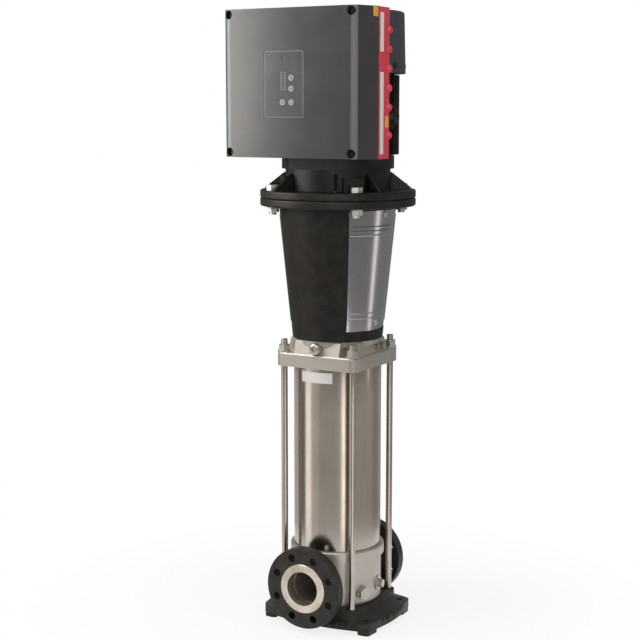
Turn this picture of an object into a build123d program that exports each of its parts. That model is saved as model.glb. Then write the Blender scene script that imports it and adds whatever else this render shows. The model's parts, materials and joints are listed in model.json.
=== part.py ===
from build123d import *

import os
from math import cos, pi, radians, sin, sqrt, tan

# Vertical multistage pump with a flange motor and a drive box on the motor's side.
# Millimetres. +Z is up, the pump axis is Z and the floor is Z = 0.
# The suction port looks along -Y, the discharge port along +Y.

# ---------------------------------------------------------------- clearances
seat_gap = 0.3          # between pieces of different bodies, and loose seats
bore_gap = 0.05         # radial running fit of what sits on a shaft
thread_gap = 0.2        # radial gap between a screw and its hole

# ---------------------------------------------------------------- base plate
foot_height = 10.5
plate_thickness = 18.5
pedestal_height = 21.0
base_corner_x = 144.0   # corners of the plate, before rounding
base_corner_y = 107.0
base_bow_x = 10.0       # how far each side bulges past its corners
base_bow_y = 20.0
base_corner_radius = 20.0
foot_length = 37.0
foot_width = 50.0
pedestal_corner = 100.0
pedestal_bow_x = 5.0
pedestal_bow_y = 20.0
pedestal_flare = 5.0
pedestal_corner_radius = 9.0
anchor_spacing_x = 240.0
anchor_spacing_y = 170.0
anchor_hole_radius = 7.0
base_relief_radius = 60.0
base_overlap = 1.0      # how deep the feet and the pedestal root in the plate

# ---------------------------------------------------------------- ports
port_height = 105.0
face_to_face = 320.0
port_bore_radius = 38.5
port_neck_radius = 45.0
collar_radius = 56.25
collar_thickness = 10.5
collar_length = 30.0
collar_bore_radius = 39.0
flange_radius = 92.5
flange_thickness = 25.0
flange_setback = 1.0    # flange face behind the collar face
flange_bolt_circle = 145.0
flange_bolt_count = 8
flange_hole_radius = 9.0
flange_edge = 2.5
hub_length = 6.0        # boss on the flange's back
hub_wall = 16.0

# ---------------------------------------------------------------- pump housing
housing_radius = 102.0
housing_wall = 8.0
housing_floor = 10.0
housing_foot_radius = 97.0
housing_foot_height = 6.0
lip_radius = 108.5
lip_bottom = 155.0
lip_height = 23.0
pocket_radius = 62.0    # suction pocket under the first stage
pocket_wall = 6.0
pocket_top = 150.0
plug_boss_radius = 17.0
plug_boss_height = 2.5
plug_thread_radius = 10.5
plug_thread_length = 9.0
plug_across_flats = 26.0
plug_head_height = 9.0
plug_collar = 2.0
drain_azimuth = -26.0   # from +X
drain_height = 79.0
gauge_azimuth = 6.0
gauge_height = 88.0
gauge_across_flats = 17.0

# ---------------------------------------------------------------- sleeve and tie rods
sleeve_radius = 100.0
sleeve_wall = 2.0
sleeve_visible = 420.0  # from the housing lip to the pump head
sleeve_seat = 18.0      # how deep the sleeve enters the lip
sleeve_head_seat = 10.0
o_ring_section = 3.0
rod_radius = 7.35
rod_offset = 88.5       # tie rods from the axis, in X and in Y
rod_engagement = 16.0
nut_across_flats = 24.0
nut_height = 13.0
washer_radius = 15.0
washer_thickness = 3.0
rod_overhang = 13.0     # stud end above its nut

# ---------------------------------------------------------------- pump head
head_half = 104.0
head_band = 31.0
head_corner_radius = 18.0
head_rise = 31.0        # raised part above the band
head_shoulder_half = 97.0
head_crown_half = 89.0
head_notch = 58.0       # corner notches start this far from the axis
head_notch_radius = 6.0
head_seat_radius = 98.0
head_cavity_radius = 97.0
head_cavity_height = 28.0
seal_bore_radius = 38.0
head_edge = 4.0
crown_step = 2.0        # seat for the stool above the crown
crown_floor = 20.0
spacer_rest = 13.0      # ledge that holds the discharge spacer down
spacer_seat = 12.0
vent_height = 45.0      # vent screw above the head's underside
vent_head_radius = 13.5
vent_shank_radius = 8.0
vent_boss_radius = 12.0
vent_seat = 99.0        # face of the vent's boss, from the axis
side_seat = 97.0
side_boss_radius = 8.5
side_plug_y = 9.0
side_fitting_y = 31.0
side_plug_height = 43.0
side_plug_radius = 6.0
side_plug_depth = 12.0

# ---------------------------------------------------------------- stages
stage_count = 5
stage_pitch = 70.0
chamber_radius = 90.0
chamber_wall = 2.5
chamber_plate = 3.0
diffuser_height = 44.0
diffuser_radius = 80.0
diffuser_hub_radius = 24.0
return_vane_count = 6
return_vane_thickness = 3.0
impeller_radius = 72.0
impeller_lift = 6.0     # impeller above its chamber floor
impeller_outlet = 14.0
shroud_thickness = 2.0
impeller_eye_radius = 34.0
impeller_hub_radius = 17.0
impeller_hub_above = 30.0
blade_count = 6
blade_thickness = 2.5
blade_sweep = 55.0
neck_ring_wall = 3.0
neck_ring_rise = 2.0
bush_length = 12.0
outlet_window_count = 6
outlet_window_width = 52.0
outlet_window_height = 50.0

# ---------------------------------------------------------------- shaft, seal, coupling
pump_shaft_radius = 11.0
pump_shaft_start = 112.0
seal_plate_radius = 58.0
seal_plate_thickness = 8.0
seal_cup_depth = 24.0
seal_cup_wall = 8.0
seal_seat_height = 7.0
seal_face_height = 8.0
seal_driver_height = 22.0
seal_ring_inner = 13.0
seal_seat_wall = 4.5
seal_floor = 6.0
seal_step = 2.0
coupling_radius = 42.0
coupling_length = 150.0
coupling_split = 3.0
coupling_below = 80.0   # length of the coupling below the motor shaft's end
shaft_end_gap = 10.0    # between the two shaft ends
coupling_screw_radius = 6.0
coupling_screw_offset = 31.0
coupling_screw_head = 9.0
coupling_screw_seat = 16.0
coupling_head_height = 8.0

# ---------------------------------------------------------------- motor stool
stool_base_radius = 102.5
stool_top_radius = 133.0
stool_height = 316.0
stool_flange_radius = 175.0
stool_flange_thickness = 18.0
stool_wall = 10.0
stool_foot_height = 16.0
stool_foot_inner = 66.0
stool_screw_circle = 84.0
stool_screw_radius = 5.0
motor_register_radius = 125.0
window_azimuth = -7.0   # middle of the right window, from +X
window_span = 72.0
window_bottom = 52.0    # above the stool's foot
window_top = 275.0
guard_span = 85.0
guard_recess = 4.0
guard_thickness = 1.2
guard_bottom = 22.0
guard_top = 292.0
guard_fold = 5.0
guard_bead = 1.4
guard_screw_radius = 4.0
guard_screw_length = 12.0
guard_screw_head = 6.5
guard_head_height = 3.0
guard_screw_low = 40.0
guard_screw_high = 283.0
guard_side_gap = 1.0
guard_corner = 14.0
guard_fold_arc = 1.5
guard_beads = (52.0, 63.0, 238.0, 247.5, 257.0)
bolt_overhang = 6.0
bolt_head_height = 11.0
stool_screw_turn = 38.0
stool_screw_depth = 9.0
stool_screw_head = 8.0
stool_screw_head_height = 10.0

# ---------------------------------------------------------------- motor
motor_flange_thickness = 18.0
motor_bolt_circle = 300.0
motor_bolt_radius = 8.0
shield_hub_radius = 119.0
shield_hub_height = 38.0
shield_ring_radius = 126.0
shield_ring_height = 28.0
shield_gap = 9.0
shield_wall = 9.0
gusset_spread = 17.5    # gussets stand this many degrees from each bolt
gusset_thickness = 6.0
gusset_reach = 45.0
gusset_height = 38.0
bearing_seat_wall = 12.0
register_depth = 4.0
register_wall = 10.0
shaft_seal_gap = 1.0
pad_rise = 10.0
pad_width = 46.0
rotor_shaft_radius = 26.0
fin_end_gap = 3.0
lug_pad_radius = 18.0
lug_pad_rise = 0.5
rear_lug_width = 22.0
rear_lug_rise = 14.0
cowl_screw_azimuths = (-5.0, 40.0, 140.0, 185.0)
cowl_screw_radius = 3.0
cowl_screw_head = 6.0
cowl_screw_length = 14.0
cowl_screw_height = 17.0
fan_clearance = 12.0
fan_disc = 3.0
cowl_flat_gap = 0.0
lug_rim = 7.0
lug_depth = 11.0
lug_floor = 4.0
lug_bolt_radius = 5.0
lug_bolt_head = 8.5
lug_bolt_length = 14.0
lug_head_height = 6.0
shaft_extension = 110.0
motor_shaft_radius = 21.0
bearing_outer_radius = 50.0
bearing_inner_radius = 22.5
bearing_width = 25.0
bearing_race = 8.0
rear_bearing_outer_radius = 42.5
rear_bearing_inner_radius = 20.0
rear_bearing_width = 19.0
frame_radius = 118.0
frame_bore_radius = 108.0
frame_length = 180.0
fin_radius = 136.5
fin_count = 44
fin_thickness = 3.0
flat_side = 112.0       # flat face on the motor's front, from the axis
stator_inner_radius = 72.0
stator_length = 120.0
air_gap = 0.8
winding_length = 18.0
winding_inner_radius = 78.0
winding_outer_radius = 100.0
rear_shield_thickness = 12.0
rear_lug_radius = 146.0
fan_radius = 100.0
fan_height = 45.0
fan_blade_count = 7
fan_hub_radius = 30.0
cowl_bottom_radius = 150.0
cowl_top_radius = 146.4
cowl_height = 134.5
cowl_wall = 2.0
cowl_slot_width = 5.0
cowl_slot_count = 13
lug_azimuth = 12.0      # lifting lug, from +X towards +Y
lug_height = 86.0       # above the finned frame's lower end
lug_tall = 52.0
lug_wide = 32.0

# ---------------------------------------------------------------- drive box
box_half_width = 163.0
box_front = 212.0       # front face from the pump axis
box_bottom = 90.0       # lower edge above the motor's mounting face
box_height = 319.0
box_draft = 3.0
cover_depth = 98.0
cover_wall = 4.0
cover_edge_width = 19.0  # rounded upright edges: across the front
cover_edge_depth = 8.0   # and back along the sides
cable_frame_depth = 50.0
cable_frame_wall = 7.0
dome_radius = 14.7
dome_offset = 161.0
dome_count = 6
base_board_thickness = 5.7
screw_column_radius = 13.0
screw_recess_radius = 9.5
screw_recess_depth = 22.0
screw_inset_x = 13.0
screw_inset_z = 11.0
cover_screw_radius = 3.0
cover_screw_head = 7.5
panel_low_x = -60.0
panel_width = 98.0
panel_bottom = 87.0     # above the box's lower front edge
panel_height = 141.0
panel_thickness = 2.2
panel_pocket = 2.0
panel_gap = 0.6
panel_corner_radius = 4.0
button_radius = 6.7
button_height = 1.2
button_travel = 0.8
button_stem_radius = 2.5
button_gap = 0.3
button_places = {
    "up": (7.4, 1236.5),
    "down": (7.4, 1214.0),
    "menu": (-14.3, 1185.7),
    "start": (7.4, 1185.7),
}
indicator_x = -12.0
indicator_z = 1278.0
indicator_radius = 7.0
indicator_wall = 1.5
cover_front_wall = 6.0
cover_screw_head_height = 8.0
board_margin = 22.0
board_depth = 40.0
saddle_gap = 1.5
dome_setback = 3.0
vent_head_height = 12.0
vent_shank_length = 12.0
vent_socket = 11.0
side_plug_head = 13.0

# ---------------------------------------------------------------- levels worked out from the above
plate_top = foot_height + plate_thickness
pedestal_top = plate_top + pedestal_height
port_face = face_to_face / 2
body_bottom = pedestal_top + housing_foot_height
lip_top = lip_bottom + lip_height
head_bottom = lip_top + sleeve_visible
head_band_top = head_bottom + head_band
head_top = head_band_top + head_rise
spacer_bottom = pocket_top + stage_count * stage_pitch
stool_top = head_top + stool_height
motor_face = stool_top
shaft_end = motor_face - shaft_extension
pump_shaft_end = shaft_end - shaft_end_gap
coupling_bottom = shaft_end - coupling_below
coupling_top = coupling_bottom + coupling_length
shield_top = motor_face + motor_flange_thickness + shield_hub_height + shield_gap + shield_ring_height
frame_top = shield_top + frame_length
rear_shield_top = frame_top + rear_shield_thickness
cowl_top = frame_top + cowl_height
box_low = motor_face + box_bottom
box_high = box_low + box_height
cover_back = box_front - cover_depth
panel_low = box_low + panel_bottom
tall = 4 * (port_face + face_to_face)   # longer than anything a cut has to pass


# ---------------------------------------------------------------- helpers
def turned(profile, arc=360.0):
    """Solid turned about the pump axis from (radius, height) points."""
    outline = Polyline(*[(radius, 0, height) for radius, height in profile], close=True)
    return revolve(make_face(outline), Axis.Z, arc)


def drum(radius, low, high, x=0.0, y=0.0):
    """Upright cylinder between two heights."""
    upright = Cylinder(radius, high - low, align=(Align.CENTER, Align.CENTER, Align.MIN))
    return Pos(x, y, low) * upright


def tube(outer, inner, low, high, x=0.0, y=0.0):
    """Upright ring between two heights."""
    return drum(outer, low, high, x, y) - drum(inner, low, high, x, y)


def block(x_low, x_high, y_low, y_high, z_low, z_high):
    """Box between two corners."""
    size = (x_high - x_low, y_high - y_low, z_high - z_low)
    return Pos(x_low, y_low, z_low) * Box(*size, align=(Align.MIN, Align.MIN, Align.MIN))


def rod_along_y(radius, start, end, x=0.0, z=0.0):
    """Cylinder along Y from start to end."""
    lying = Rot(-90, 0, 0) * Cylinder(radius, end - start, align=(Align.CENTER, Align.CENTER, Align.MIN))
    return Pos(x, start, z) * lying


def rod_along_x(radius, start, end, y=0.0, z=0.0):
    """Cylinder along X from start to end."""
    lying = Rot(0, 90, 0) * Cylinder(radius, end - start, align=(Align.CENTER, Align.CENTER, Align.MIN))
    return Pos(start, y, z) * lying


def hexagon(across_flats, height, bore=0.0):
    """Hexagonal prism standing on Z = 0, with a hole where a bore is given."""
    prism = extrude(RegularPolygon(across_flats / 2, 6, major_radius=False), height)
    return prism - drum(bore, 0, height) if bore else prism


def around(shape, count, start=0.0):
    """Copies of a shape at equal angles about the pump axis."""
    return [Rot(0, 0, start + 360.0 * index / count) * shape for index in range(count)]


def at_corners(shape, offset):
    """Copies of a shape at the four corners of a square about the pump axis."""
    return [Pos(x * offset, y * offset, 0) * shape for x in (-1, 1) for y in (-1, 1)]


def bowed_outline(corner_x, corner_y, bow_x, bow_y, radius, height):
    """Four-cornered face whose sides bulge outwards, with rounded corners."""
    corners = [(corner_x, -corner_y), (corner_x, corner_y), (-corner_x, corner_y), (-corner_x, -corner_y)]
    middles = [(corner_x + bow_x, 0), (0, corner_y + bow_y), (-corner_x - bow_x, 0), (0, -corner_y - bow_y)]
    ends = corners[1:] + corners[:1]
    sides = [ThreePointArc(a, b, c) for a, b, c in zip(corners, middles, ends)]
    face = make_face(sides)
    rounded = fillet(face.vertices(), radius)
    return Pos(0, 0, height) * rounded


def sector(radius, low, high, azimuth, span):
    """Wedge about the pump axis, for cutting; azimuth is its middle from +X."""
    steps = 6
    start = azimuth - span / 2
    reach = radius / cos(radians(span / steps / 2))
    rim = [(reach * cos(radians(start + span * i / steps)), reach * sin(radians(start + span * i / steps)))
           for i in range(steps + 1)]
    return Pos(0, 0, low) * extrude(make_face(Polyline((0, 0), *rim, close=True)), high - low)


# ---------------------------------------------------------------- base and housing
def base_plate():
    """Cast foot with four corner feet and the pedestal that carries the pump."""
    plate = extrude(bowed_outline(base_corner_x, base_corner_y, base_bow_x, base_bow_y,
                                  base_corner_radius, foot_height), plate_thickness)
    foot = extrude(RectangleRounded(foot_length, foot_width, foot_length / 3), foot_height + base_overlap)
    for x in (-1, 1):
        for y in (-1, 1):
            plate += Pos(x * (base_corner_x - foot_length / 2), y * (base_corner_y - foot_width / 2), 0) * foot
    low = bowed_outline(pedestal_corner, pedestal_corner, pedestal_bow_x + pedestal_flare,
                        pedestal_bow_y, pedestal_corner_radius, plate_top - base_overlap)
    high = bowed_outline(pedestal_corner, pedestal_corner, pedestal_bow_x,
                         pedestal_bow_y, pedestal_corner_radius, pedestal_top)
    plate += loft([low, high])
    plate -= drum(base_relief_radius, foot_height, foot_height + plate_thickness)
    anchor = drum(anchor_hole_radius, 0, pedestal_top)
    rod_hole = drum(rod_radius, pedestal_top - rod_engagement, pedestal_top)
    for x in (-1, 1):
        for y in (-1, 1):
            plate -= Pos(x * anchor_spacing_x / 2, y * anchor_spacing_y / 2, 0) * anchor
            plate -= Pos(x * rod_offset, y * rod_offset, 0) * rod_hole
    return plate


def pump_housing():
    """Cast bottom housing: suction pocket in the middle, discharge ring around it."""
    floor = body_bottom + housing_floor
    inner = housing_radius - housing_wall
    body = turned([(0, pedestal_top), (housing_foot_radius, pedestal_top), (housing_foot_radius, body_bottom),
                   (housing_radius, body_bottom), (housing_radius, lip_bottom), (lip_radius, lip_bottom),
                   (lip_radius, lip_top), (0, lip_top)])
    rim = body.edges().filter_by(GeomType.CIRCLE).group_by(Axis.Z)[-1]
    body = fillet(rim, 4.0)
    for side in (-1, 1):
        start, end = sorted((0, side * (port_face - collar_length)))
        body += rod_along_y(port_neck_radius, start, end, z=port_height)
    ring_cavity = tube(inner, pocket_radius, floor, lip_top)
    ring_cavity -= rod_along_y(port_neck_radius, -port_face, 0, z=port_height)
    body -= ring_cavity
    body -= drum(pocket_radius, pocket_top, lip_top)
    body -= drum(pocket_radius - pocket_wall, floor, lip_top)
    body -= drum(sleeve_radius + seat_gap / 2, lip_top - sleeve_seat, lip_top)
    body -= rod_along_y(port_bore_radius, -port_face, 0, z=port_height)
    body -= rod_along_y(port_bore_radius, pocket_radius + seat_gap, port_face, z=port_height)
    for azimuth, height in ((drain_azimuth, drain_height), (gauge_azimuth, gauge_height)):
        boss = rod_along_x(plug_boss_radius, inner, housing_radius + plug_boss_height, z=height)
        hole = rod_along_x(plug_thread_radius, inner - seat_gap, lip_radius, z=height)
        body += Rot(0, 0, azimuth) * boss
        body -= Rot(0, 0, azimuth) * hole
    return body


def hex_plug(height, azimuth, head, seat):
    """Threaded plug with a hexagon head, pointing outwards at an azimuth."""
    shank = rod_along_x(plug_thread_radius, seat - plug_thread_length, seat, z=height)
    collar = rod_along_x(head / 2 + 2.0, seat, seat + plug_collar, z=height)
    hexagon_head = Pos(seat + plug_collar, 0, height) * (Rot(0, 90, 0) * hexagon(head, plug_head_height))
    return Rot(0, 0, azimuth) * (shank + collar + hexagon_head)


def drain_plug():
    """Drain plug low on the housing."""
    return hex_plug(drain_height, drain_azimuth, plug_across_flats, housing_radius + plug_boss_height)


def gauge_plug():
    """Second plug, for a gauge, beside the drain plug."""
    return hex_plug(gauge_height, gauge_azimuth, gauge_across_flats, housing_radius + plug_boss_height)


def port_collar(side):
    """Stub end whose face carries the gasket and holds the loose flange."""
    face = side * port_face
    back = side * (port_face - collar_thickness)
    root = side * (port_face - collar_length)
    collar = rod_along_y(collar_radius, *sorted((back, face)), z=port_height)
    collar = chamfer(collar.edges().filter_by(GeomType.CIRCLE), 1.0)
    collar += rod_along_y(port_neck_radius, *sorted((root, face)), z=port_height)
    return collar - rod_along_y(collar_bore_radius, *sorted((root, face)), z=port_height)


def port_flange(side):
    """Loose flange ring that turns on its stub end."""
    front = side * (port_face - flange_setback)
    back = side * (port_face - flange_setback - flange_thickness)
    ring = rod_along_y(flange_radius, *sorted((front, back)), z=port_height)
    ring = fillet(ring.edges().filter_by(GeomType.CIRCLE), flange_edge)
    ring -= rod_along_y(port_neck_radius + seat_gap, *sorted((front, back)), z=port_height)
    pocket_end = side * (port_face - collar_thickness - seat_gap)
    ring -= rod_along_y(collar_radius + seat_gap, *sorted((front, pocket_end)), z=port_height)
    hole = rod_along_y(flange_hole_radius, *sorted((front, back)), x=flange_bolt_circle / 2)
    for index in range(flange_bolt_count):
        turn = 360.0 * (index + 0.5) / flange_bolt_count
        ring -= Pos(0, 0, port_height) * (Rot(0, turn, 0) * hole)
    return ring


# ---------------------------------------------------------------- sleeve, rods and head
def outer_sleeve():
    """Thin stainless tube around the stages."""
    return tube(sleeve_radius, sleeve_radius - sleeve_wall, lip_top - sleeve_seat, head_bottom + sleeve_head_seat)


def sleeve_o_rings():
    """Seal rings inside the two ends of the sleeve."""
    middle = sleeve_radius - sleeve_wall - seat_gap / 2 - o_ring_section / 2
    rings = []
    for height in (lip_top - sleeve_seat + o_ring_section / 2, head_bottom + sleeve_head_seat - o_ring_section):
        section = Pos(middle, 0, height) * (Rot(90, 0, 0) * Circle(o_ring_section / 2))
        rings.append(revolve(section, Axis.Z, 360))
    return rings


def tie_rods():
    """Four long studs from the base to above the pump head."""
    top = head_band_top + washer_thickness + nut_height + rod_overhang
    stud = chamfer(drum(rod_radius, pedestal_top - rod_engagement, top).edges(), 1.2)
    return at_corners(stud, rod_offset)


def tie_rod_washers():
    """Washers under the tie rod nuts."""
    low = head_band_top
    return at_corners(tube(washer_radius, rod_radius + thread_gap, low, low + washer_thickness), rod_offset)


def tie_rod_nuts():
    """Hexagon nuts that clamp the pump head down."""
    low = head_band_top + washer_thickness
    nut = hexagon(nut_across_flats, nut_height) & drum(nut_across_flats * 0.56, 0, nut_height)
    nut -= drum(rod_radius, 0, nut_height)
    return at_corners(Pos(0, 0, low) * nut, rod_offset)


def pump_head():
    """Square cast head with a raised crown, notched at the corners for the nuts."""
    band = extrude(RectangleRounded(2 * head_half, 2 * head_half, head_corner_radius), head_band)
    band = fillet(band.edges().group_by(Axis.Z)[-1], head_edge)
    shoulder = Pos(0, 0, head_band - head_edge / 2) * RectangleRounded(
        2 * head_shoulder_half, 2 * head_shoulder_half, head_corner_radius)
    crown = Pos(0, 0, head_band + head_rise - crown_step) * RectangleRounded(
        2 * head_crown_half, 2 * head_crown_half, head_corner_radius)
    head = band + loft([shoulder, crown])
    notch_size = 2 * head_half
    notch = extrude(RectangleRounded(notch_size, notch_size, head_notch_radius), head_rise)
    shift = head_notch + notch_size / 2
    for x in (-1, 1):
        for y in (-1, 1):
            head -= Pos(x * shift, y * shift, head_band) * notch
            head -= drum(rod_radius + thread_gap, 0, head_band, x * rod_offset, y * rod_offset)
    head += drum(head_seat_radius, head_band + crown_floor, head_band + head_rise)
    cavity_top = head_cavity_height
    head -= drum(head_cavity_radius - spacer_rest, 0, cavity_top)
    head -= drum(head_cavity_radius, 0, spacer_seat)
    head -= drum(sleeve_radius + seat_gap / 2, 0, sleeve_head_seat)
    head -= drum(seal_bore_radius, 0, head_band + head_rise)
    top = head_band + head_rise
    for hole in around(drum(stool_screw_radius, top - stool_screw_depth, top, stool_screw_circle), 4,
                       stool_screw_turn):
        head -= hole
    head += rod_along_y(vent_boss_radius, -vent_seat, -head_crown_half + vent_shank_length, z=vent_height)
    head -= rod_along_y(vent_shank_radius, -vent_seat, -vent_seat + vent_shank_length + seat_gap, z=vent_height)
    for offset in (side_plug_y, side_fitting_y):
        root = side_seat - side_plug_depth
        head += rod_along_x(side_boss_radius, root, side_seat, offset, side_plug_height)
        head -= rod_along_x(side_plug_radius, root, side_seat, offset, side_plug_height)
    return Pos(0, 0, head_bottom) * head


# ---------------------------------------------------------------- stages
def stage_chamber(index):
    """One stage: floor with the impeller's eye, outer wall, diffuser plate and return vanes."""
    floor = chamber_plate
    chamber = tube(chamber_radius, chamber_radius - chamber_wall, 0, stage_pitch)
    chamber += tube(chamber_radius - chamber_wall / 2, impeller_eye_radius + neck_ring_wall + thread_gap, 0, floor)
    plate_low = diffuser_height
    chamber += tube(diffuser_radius, diffuser_hub_radius, plate_low, plate_low + chamber_plate)
    vane = block(diffuser_hub_radius, chamber_radius - chamber_wall / 2,
                 -return_vane_thickness / 2, return_vane_thickness / 2, plate_low, stage_pitch)
    for copy in around(vane, return_vane_count):
        chamber += copy
    return Pos(0, 0, pocket_top + index * stage_pitch) * chamber


def impeller_blade():
    """Backward-curved blade between the two shrouds, standing on Z = 0."""
    inner = impeller_eye_radius - blade_thickness
    outer = impeller_radius - seat_gap
    sweep = radians(blade_sweep)
    start = (inner, 0)
    end = (outer * cos(sweep), outer * sin(sweep))
    middle_radius = (inner + outer) / 2
    middle = (middle_radius * cos(sweep * 0.42), middle_radius * sin(sweep * 0.42))
    centre_line = ThreePointArc(start, middle, end)
    return extrude(trace(centre_line, blade_thickness), impeller_outlet + 2 * shroud_thickness)


def impeller():
    """Closed impeller: eye ring and front shroud below, back shroud and hub above."""
    back = shroud_thickness + impeller_outlet
    wheel = tube(impeller_radius, impeller_eye_radius, 0, shroud_thickness)
    wheel += tube(impeller_eye_radius, impeller_eye_radius - shroud_thickness, -impeller_lift, shroud_thickness)
    wheel += tube(impeller_radius, impeller_hub_radius - 1.0, back, back + shroud_thickness)
    hub_top = back + shroud_thickness + impeller_hub_above
    wheel += tube(impeller_hub_radius, pump_shaft_radius + bore_gap, hub_top - stage_pitch, hub_top)
    blade = impeller_blade()
    for copy in around(blade, blade_count):
        wheel += copy
    return wheel


def placed_impeller(index):
    """Impeller of one stage at its height on the shaft."""
    low = pocket_top + index * stage_pitch + chamber_plate + impeller_lift
    return Pos(0, 0, low) * impeller()


def neck_rings():
    """Wear rings in the chamber floors, around the impeller eyes."""
    outer = impeller_eye_radius + neck_ring_wall
    ring = tube(outer, impeller_eye_radius + seat_gap, 0, chamber_plate + neck_ring_rise)
    return [Pos(0, 0, pocket_top + index * stage_pitch) * ring for index in range(stage_count)]


def shaft_bushes():
    """Bearing bushes in the hubs of the diffuser plates."""
    outer = diffuser_hub_radius
    ring = tube(outer, impeller_hub_radius + seat_gap, diffuser_height, diffuser_height + bush_length)
    return [Pos(0, 0, pocket_top + index * stage_pitch) * ring for index in range(stage_count)]


def discharge_spacer():
    """Windowed ring between the last stage and the pump head."""
    top = head_bottom + spacer_seat
    ring = tube(chamber_radius, chamber_radius - chamber_wall, spacer_bottom, top)
    middle = (spacer_bottom + top) / 2
    window = block(0, sleeve_radius, -outlet_window_width / 2, outlet_window_width / 2,
                   middle - outlet_window_height / 2, middle + outlet_window_height / 2)
    for copy in around(window, outlet_window_count):
        ring -= copy
    return ring


def pump_shaft():
    """Shaft through all stages into the coupling."""
    return chamfer(drum(pump_shaft_radius, pump_shaft_start, pump_shaft_end).edges(), 1.0)


# ---------------------------------------------------------------- shaft seal and coupling
def seal_carrier():
    """Cartridge body that drops into the pump head and is clamped on top of it."""
    bore = seal_bore_radius - seat_gap / 2
    carrier = tube(seal_plate_radius, bore - seal_cup_wall, head_top, head_top + seal_plate_thickness)
    carrier += tube(bore, bore - seal_cup_wall, head_top - seal_cup_depth, head_top)
    carrier += tube(bore, seal_ring_inner + seal_seat_wall, head_top - seal_cup_depth - seal_floor,
                    head_top - seal_cup_depth)
    return carrier


def seal_seat():
    """Stationary seal ring in the carrier's floor."""
    low = head_top - seal_cup_depth
    return tube(seal_ring_inner + 2 * seal_seat_wall, seal_ring_inner, low, low + seal_seat_height)


def seal_rotor():
    """Rotating seal ring and the collar that clamps it to the shaft."""
    low = head_top - seal_cup_depth + seal_seat_height
    outer = seal_ring_inner + 2 * seal_seat_wall
    bore = pump_shaft_radius + bore_gap
    ring = tube(outer - seal_step, bore, low + bore_gap, low + seal_face_height)
    return ring + tube(outer, bore, low + seal_face_height, low + seal_face_height + seal_driver_height)


def coupling_half(side):
    """Half of the split clamp coupling, +1 on the +X side."""
    shell = drum(coupling_radius, coupling_bottom, coupling_top)
    shell = chamfer(shell.edges().filter_by(GeomType.CIRCLE), 3.0)
    shell -= drum(pump_shaft_radius + bore_gap, coupling_bottom, shaft_end)
    shell -= drum(motor_shaft_radius + bore_gap, pump_shaft_end + shaft_end_gap / 2, coupling_top)
    start, end = sorted((side * coupling_split / 2, side * coupling_radius))
    half = shell & block(start, end, -coupling_radius, coupling_radius, coupling_bottom, coupling_top)
    for y, z in coupling_screw_places():
        half -= rod_along_x(coupling_screw_radius, -coupling_radius, coupling_radius, y, z)
        recess = rod_along_x(coupling_screw_head + seat_gap, *sorted((side * coupling_screw_seat,
                                                                       side * coupling_radius)), y, z)
        half -= recess
    return half


def coupling_screw_places():
    """Y and Z of the four clamp screws."""
    quarter = coupling_length / 4
    return [(y * coupling_screw_offset, coupling_bottom + z * quarter) for y in (-1, 1) for z in (1, 3)]


def coupling_screws():
    """Socket screws that clamp the two coupling halves."""
    screws = []
    for y, z in coupling_screw_places():
        shank = rod_along_x(coupling_screw_radius, -coupling_screw_seat, coupling_screw_seat, y, z)
        head = rod_along_x(coupling_screw_head, coupling_screw_seat, coupling_screw_seat + coupling_head_height, y, z)
        head -= Pos(coupling_screw_seat + coupling_head_height / 2, y, z) * (
            Rot(0, 90, 0) * hexagon(coupling_screw_radius * 1.6, coupling_head_height))
        nut = rod_along_x(coupling_screw_head, -coupling_screw_seat - coupling_head_height, -coupling_screw_seat, y, z)
        screws.append(shank + head + nut)
    return screws


# ---------------------------------------------------------------- motor stool and guards
def stool_radius(height):
    """Outer radius of the stool's cone at a height above its foot."""
    share = height / (stool_height - stool_flange_thickness)
    return stool_base_radius + (stool_top_radius - stool_base_radius) * share


def motor_stool():
    """Conical lantern with a window on each side, between pump head and motor."""
    cone_top = stool_height - stool_flange_thickness
    stool = turned([(stool_foot_inner, 0), (stool_base_radius, 0), (stool_top_radius, cone_top),
                    (stool_flange_radius, cone_top), (stool_flange_radius, stool_height),
                    (motor_register_radius, stool_height), (motor_register_radius, cone_top),
                    (stool_top_radius - stool_wall, cone_top),
                    (stool_base_radius - stool_wall, stool_foot_height), (stool_foot_inner, stool_foot_height)])
    rim = [edge for edge in stool.edges().filter_by(GeomType.CIRCLE)
           if abs(edge.radius - stool_flange_radius) < 0.5]
    stool = fillet(rim, 4.0)
    groove = turned([(stool_radius(guard_bottom) - guard_recess, guard_bottom),
                     (stool_radius(guard_bottom) + guard_recess, guard_bottom),
                     (stool_radius(guard_top) + guard_recess, guard_top),
                     (stool_radius(guard_top) - guard_recess, guard_top)])
    for turn in (0, 180):
        azimuth = window_azimuth + turn
        stool -= groove & sector(2 * stool_flange_radius, 0, stool_height, azimuth, guard_span + guard_side_gap)
        stool -= sector(stool_top_radius + stool_wall, window_bottom, window_top, azimuth, window_span)
        for height in (guard_screw_low, guard_screw_high):
            stool -= Rot(0, 0, azimuth) * rod_along_x(guard_screw_radius, motor_register_radius / 2,
                                                      stool_flange_radius, 0, height)
    for hole in around(drum(stool_screw_radius, 0, stool_foot_height, stool_screw_circle), 4, stool_screw_turn):
        stool -= hole
    for hole in around(drum(motor_bolt_radius + thread_gap, cone_top, stool_height, motor_bolt_circle / 2), 4, 45):
        stool -= hole
    return Pos(0, 0, head_top) * stool


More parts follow.
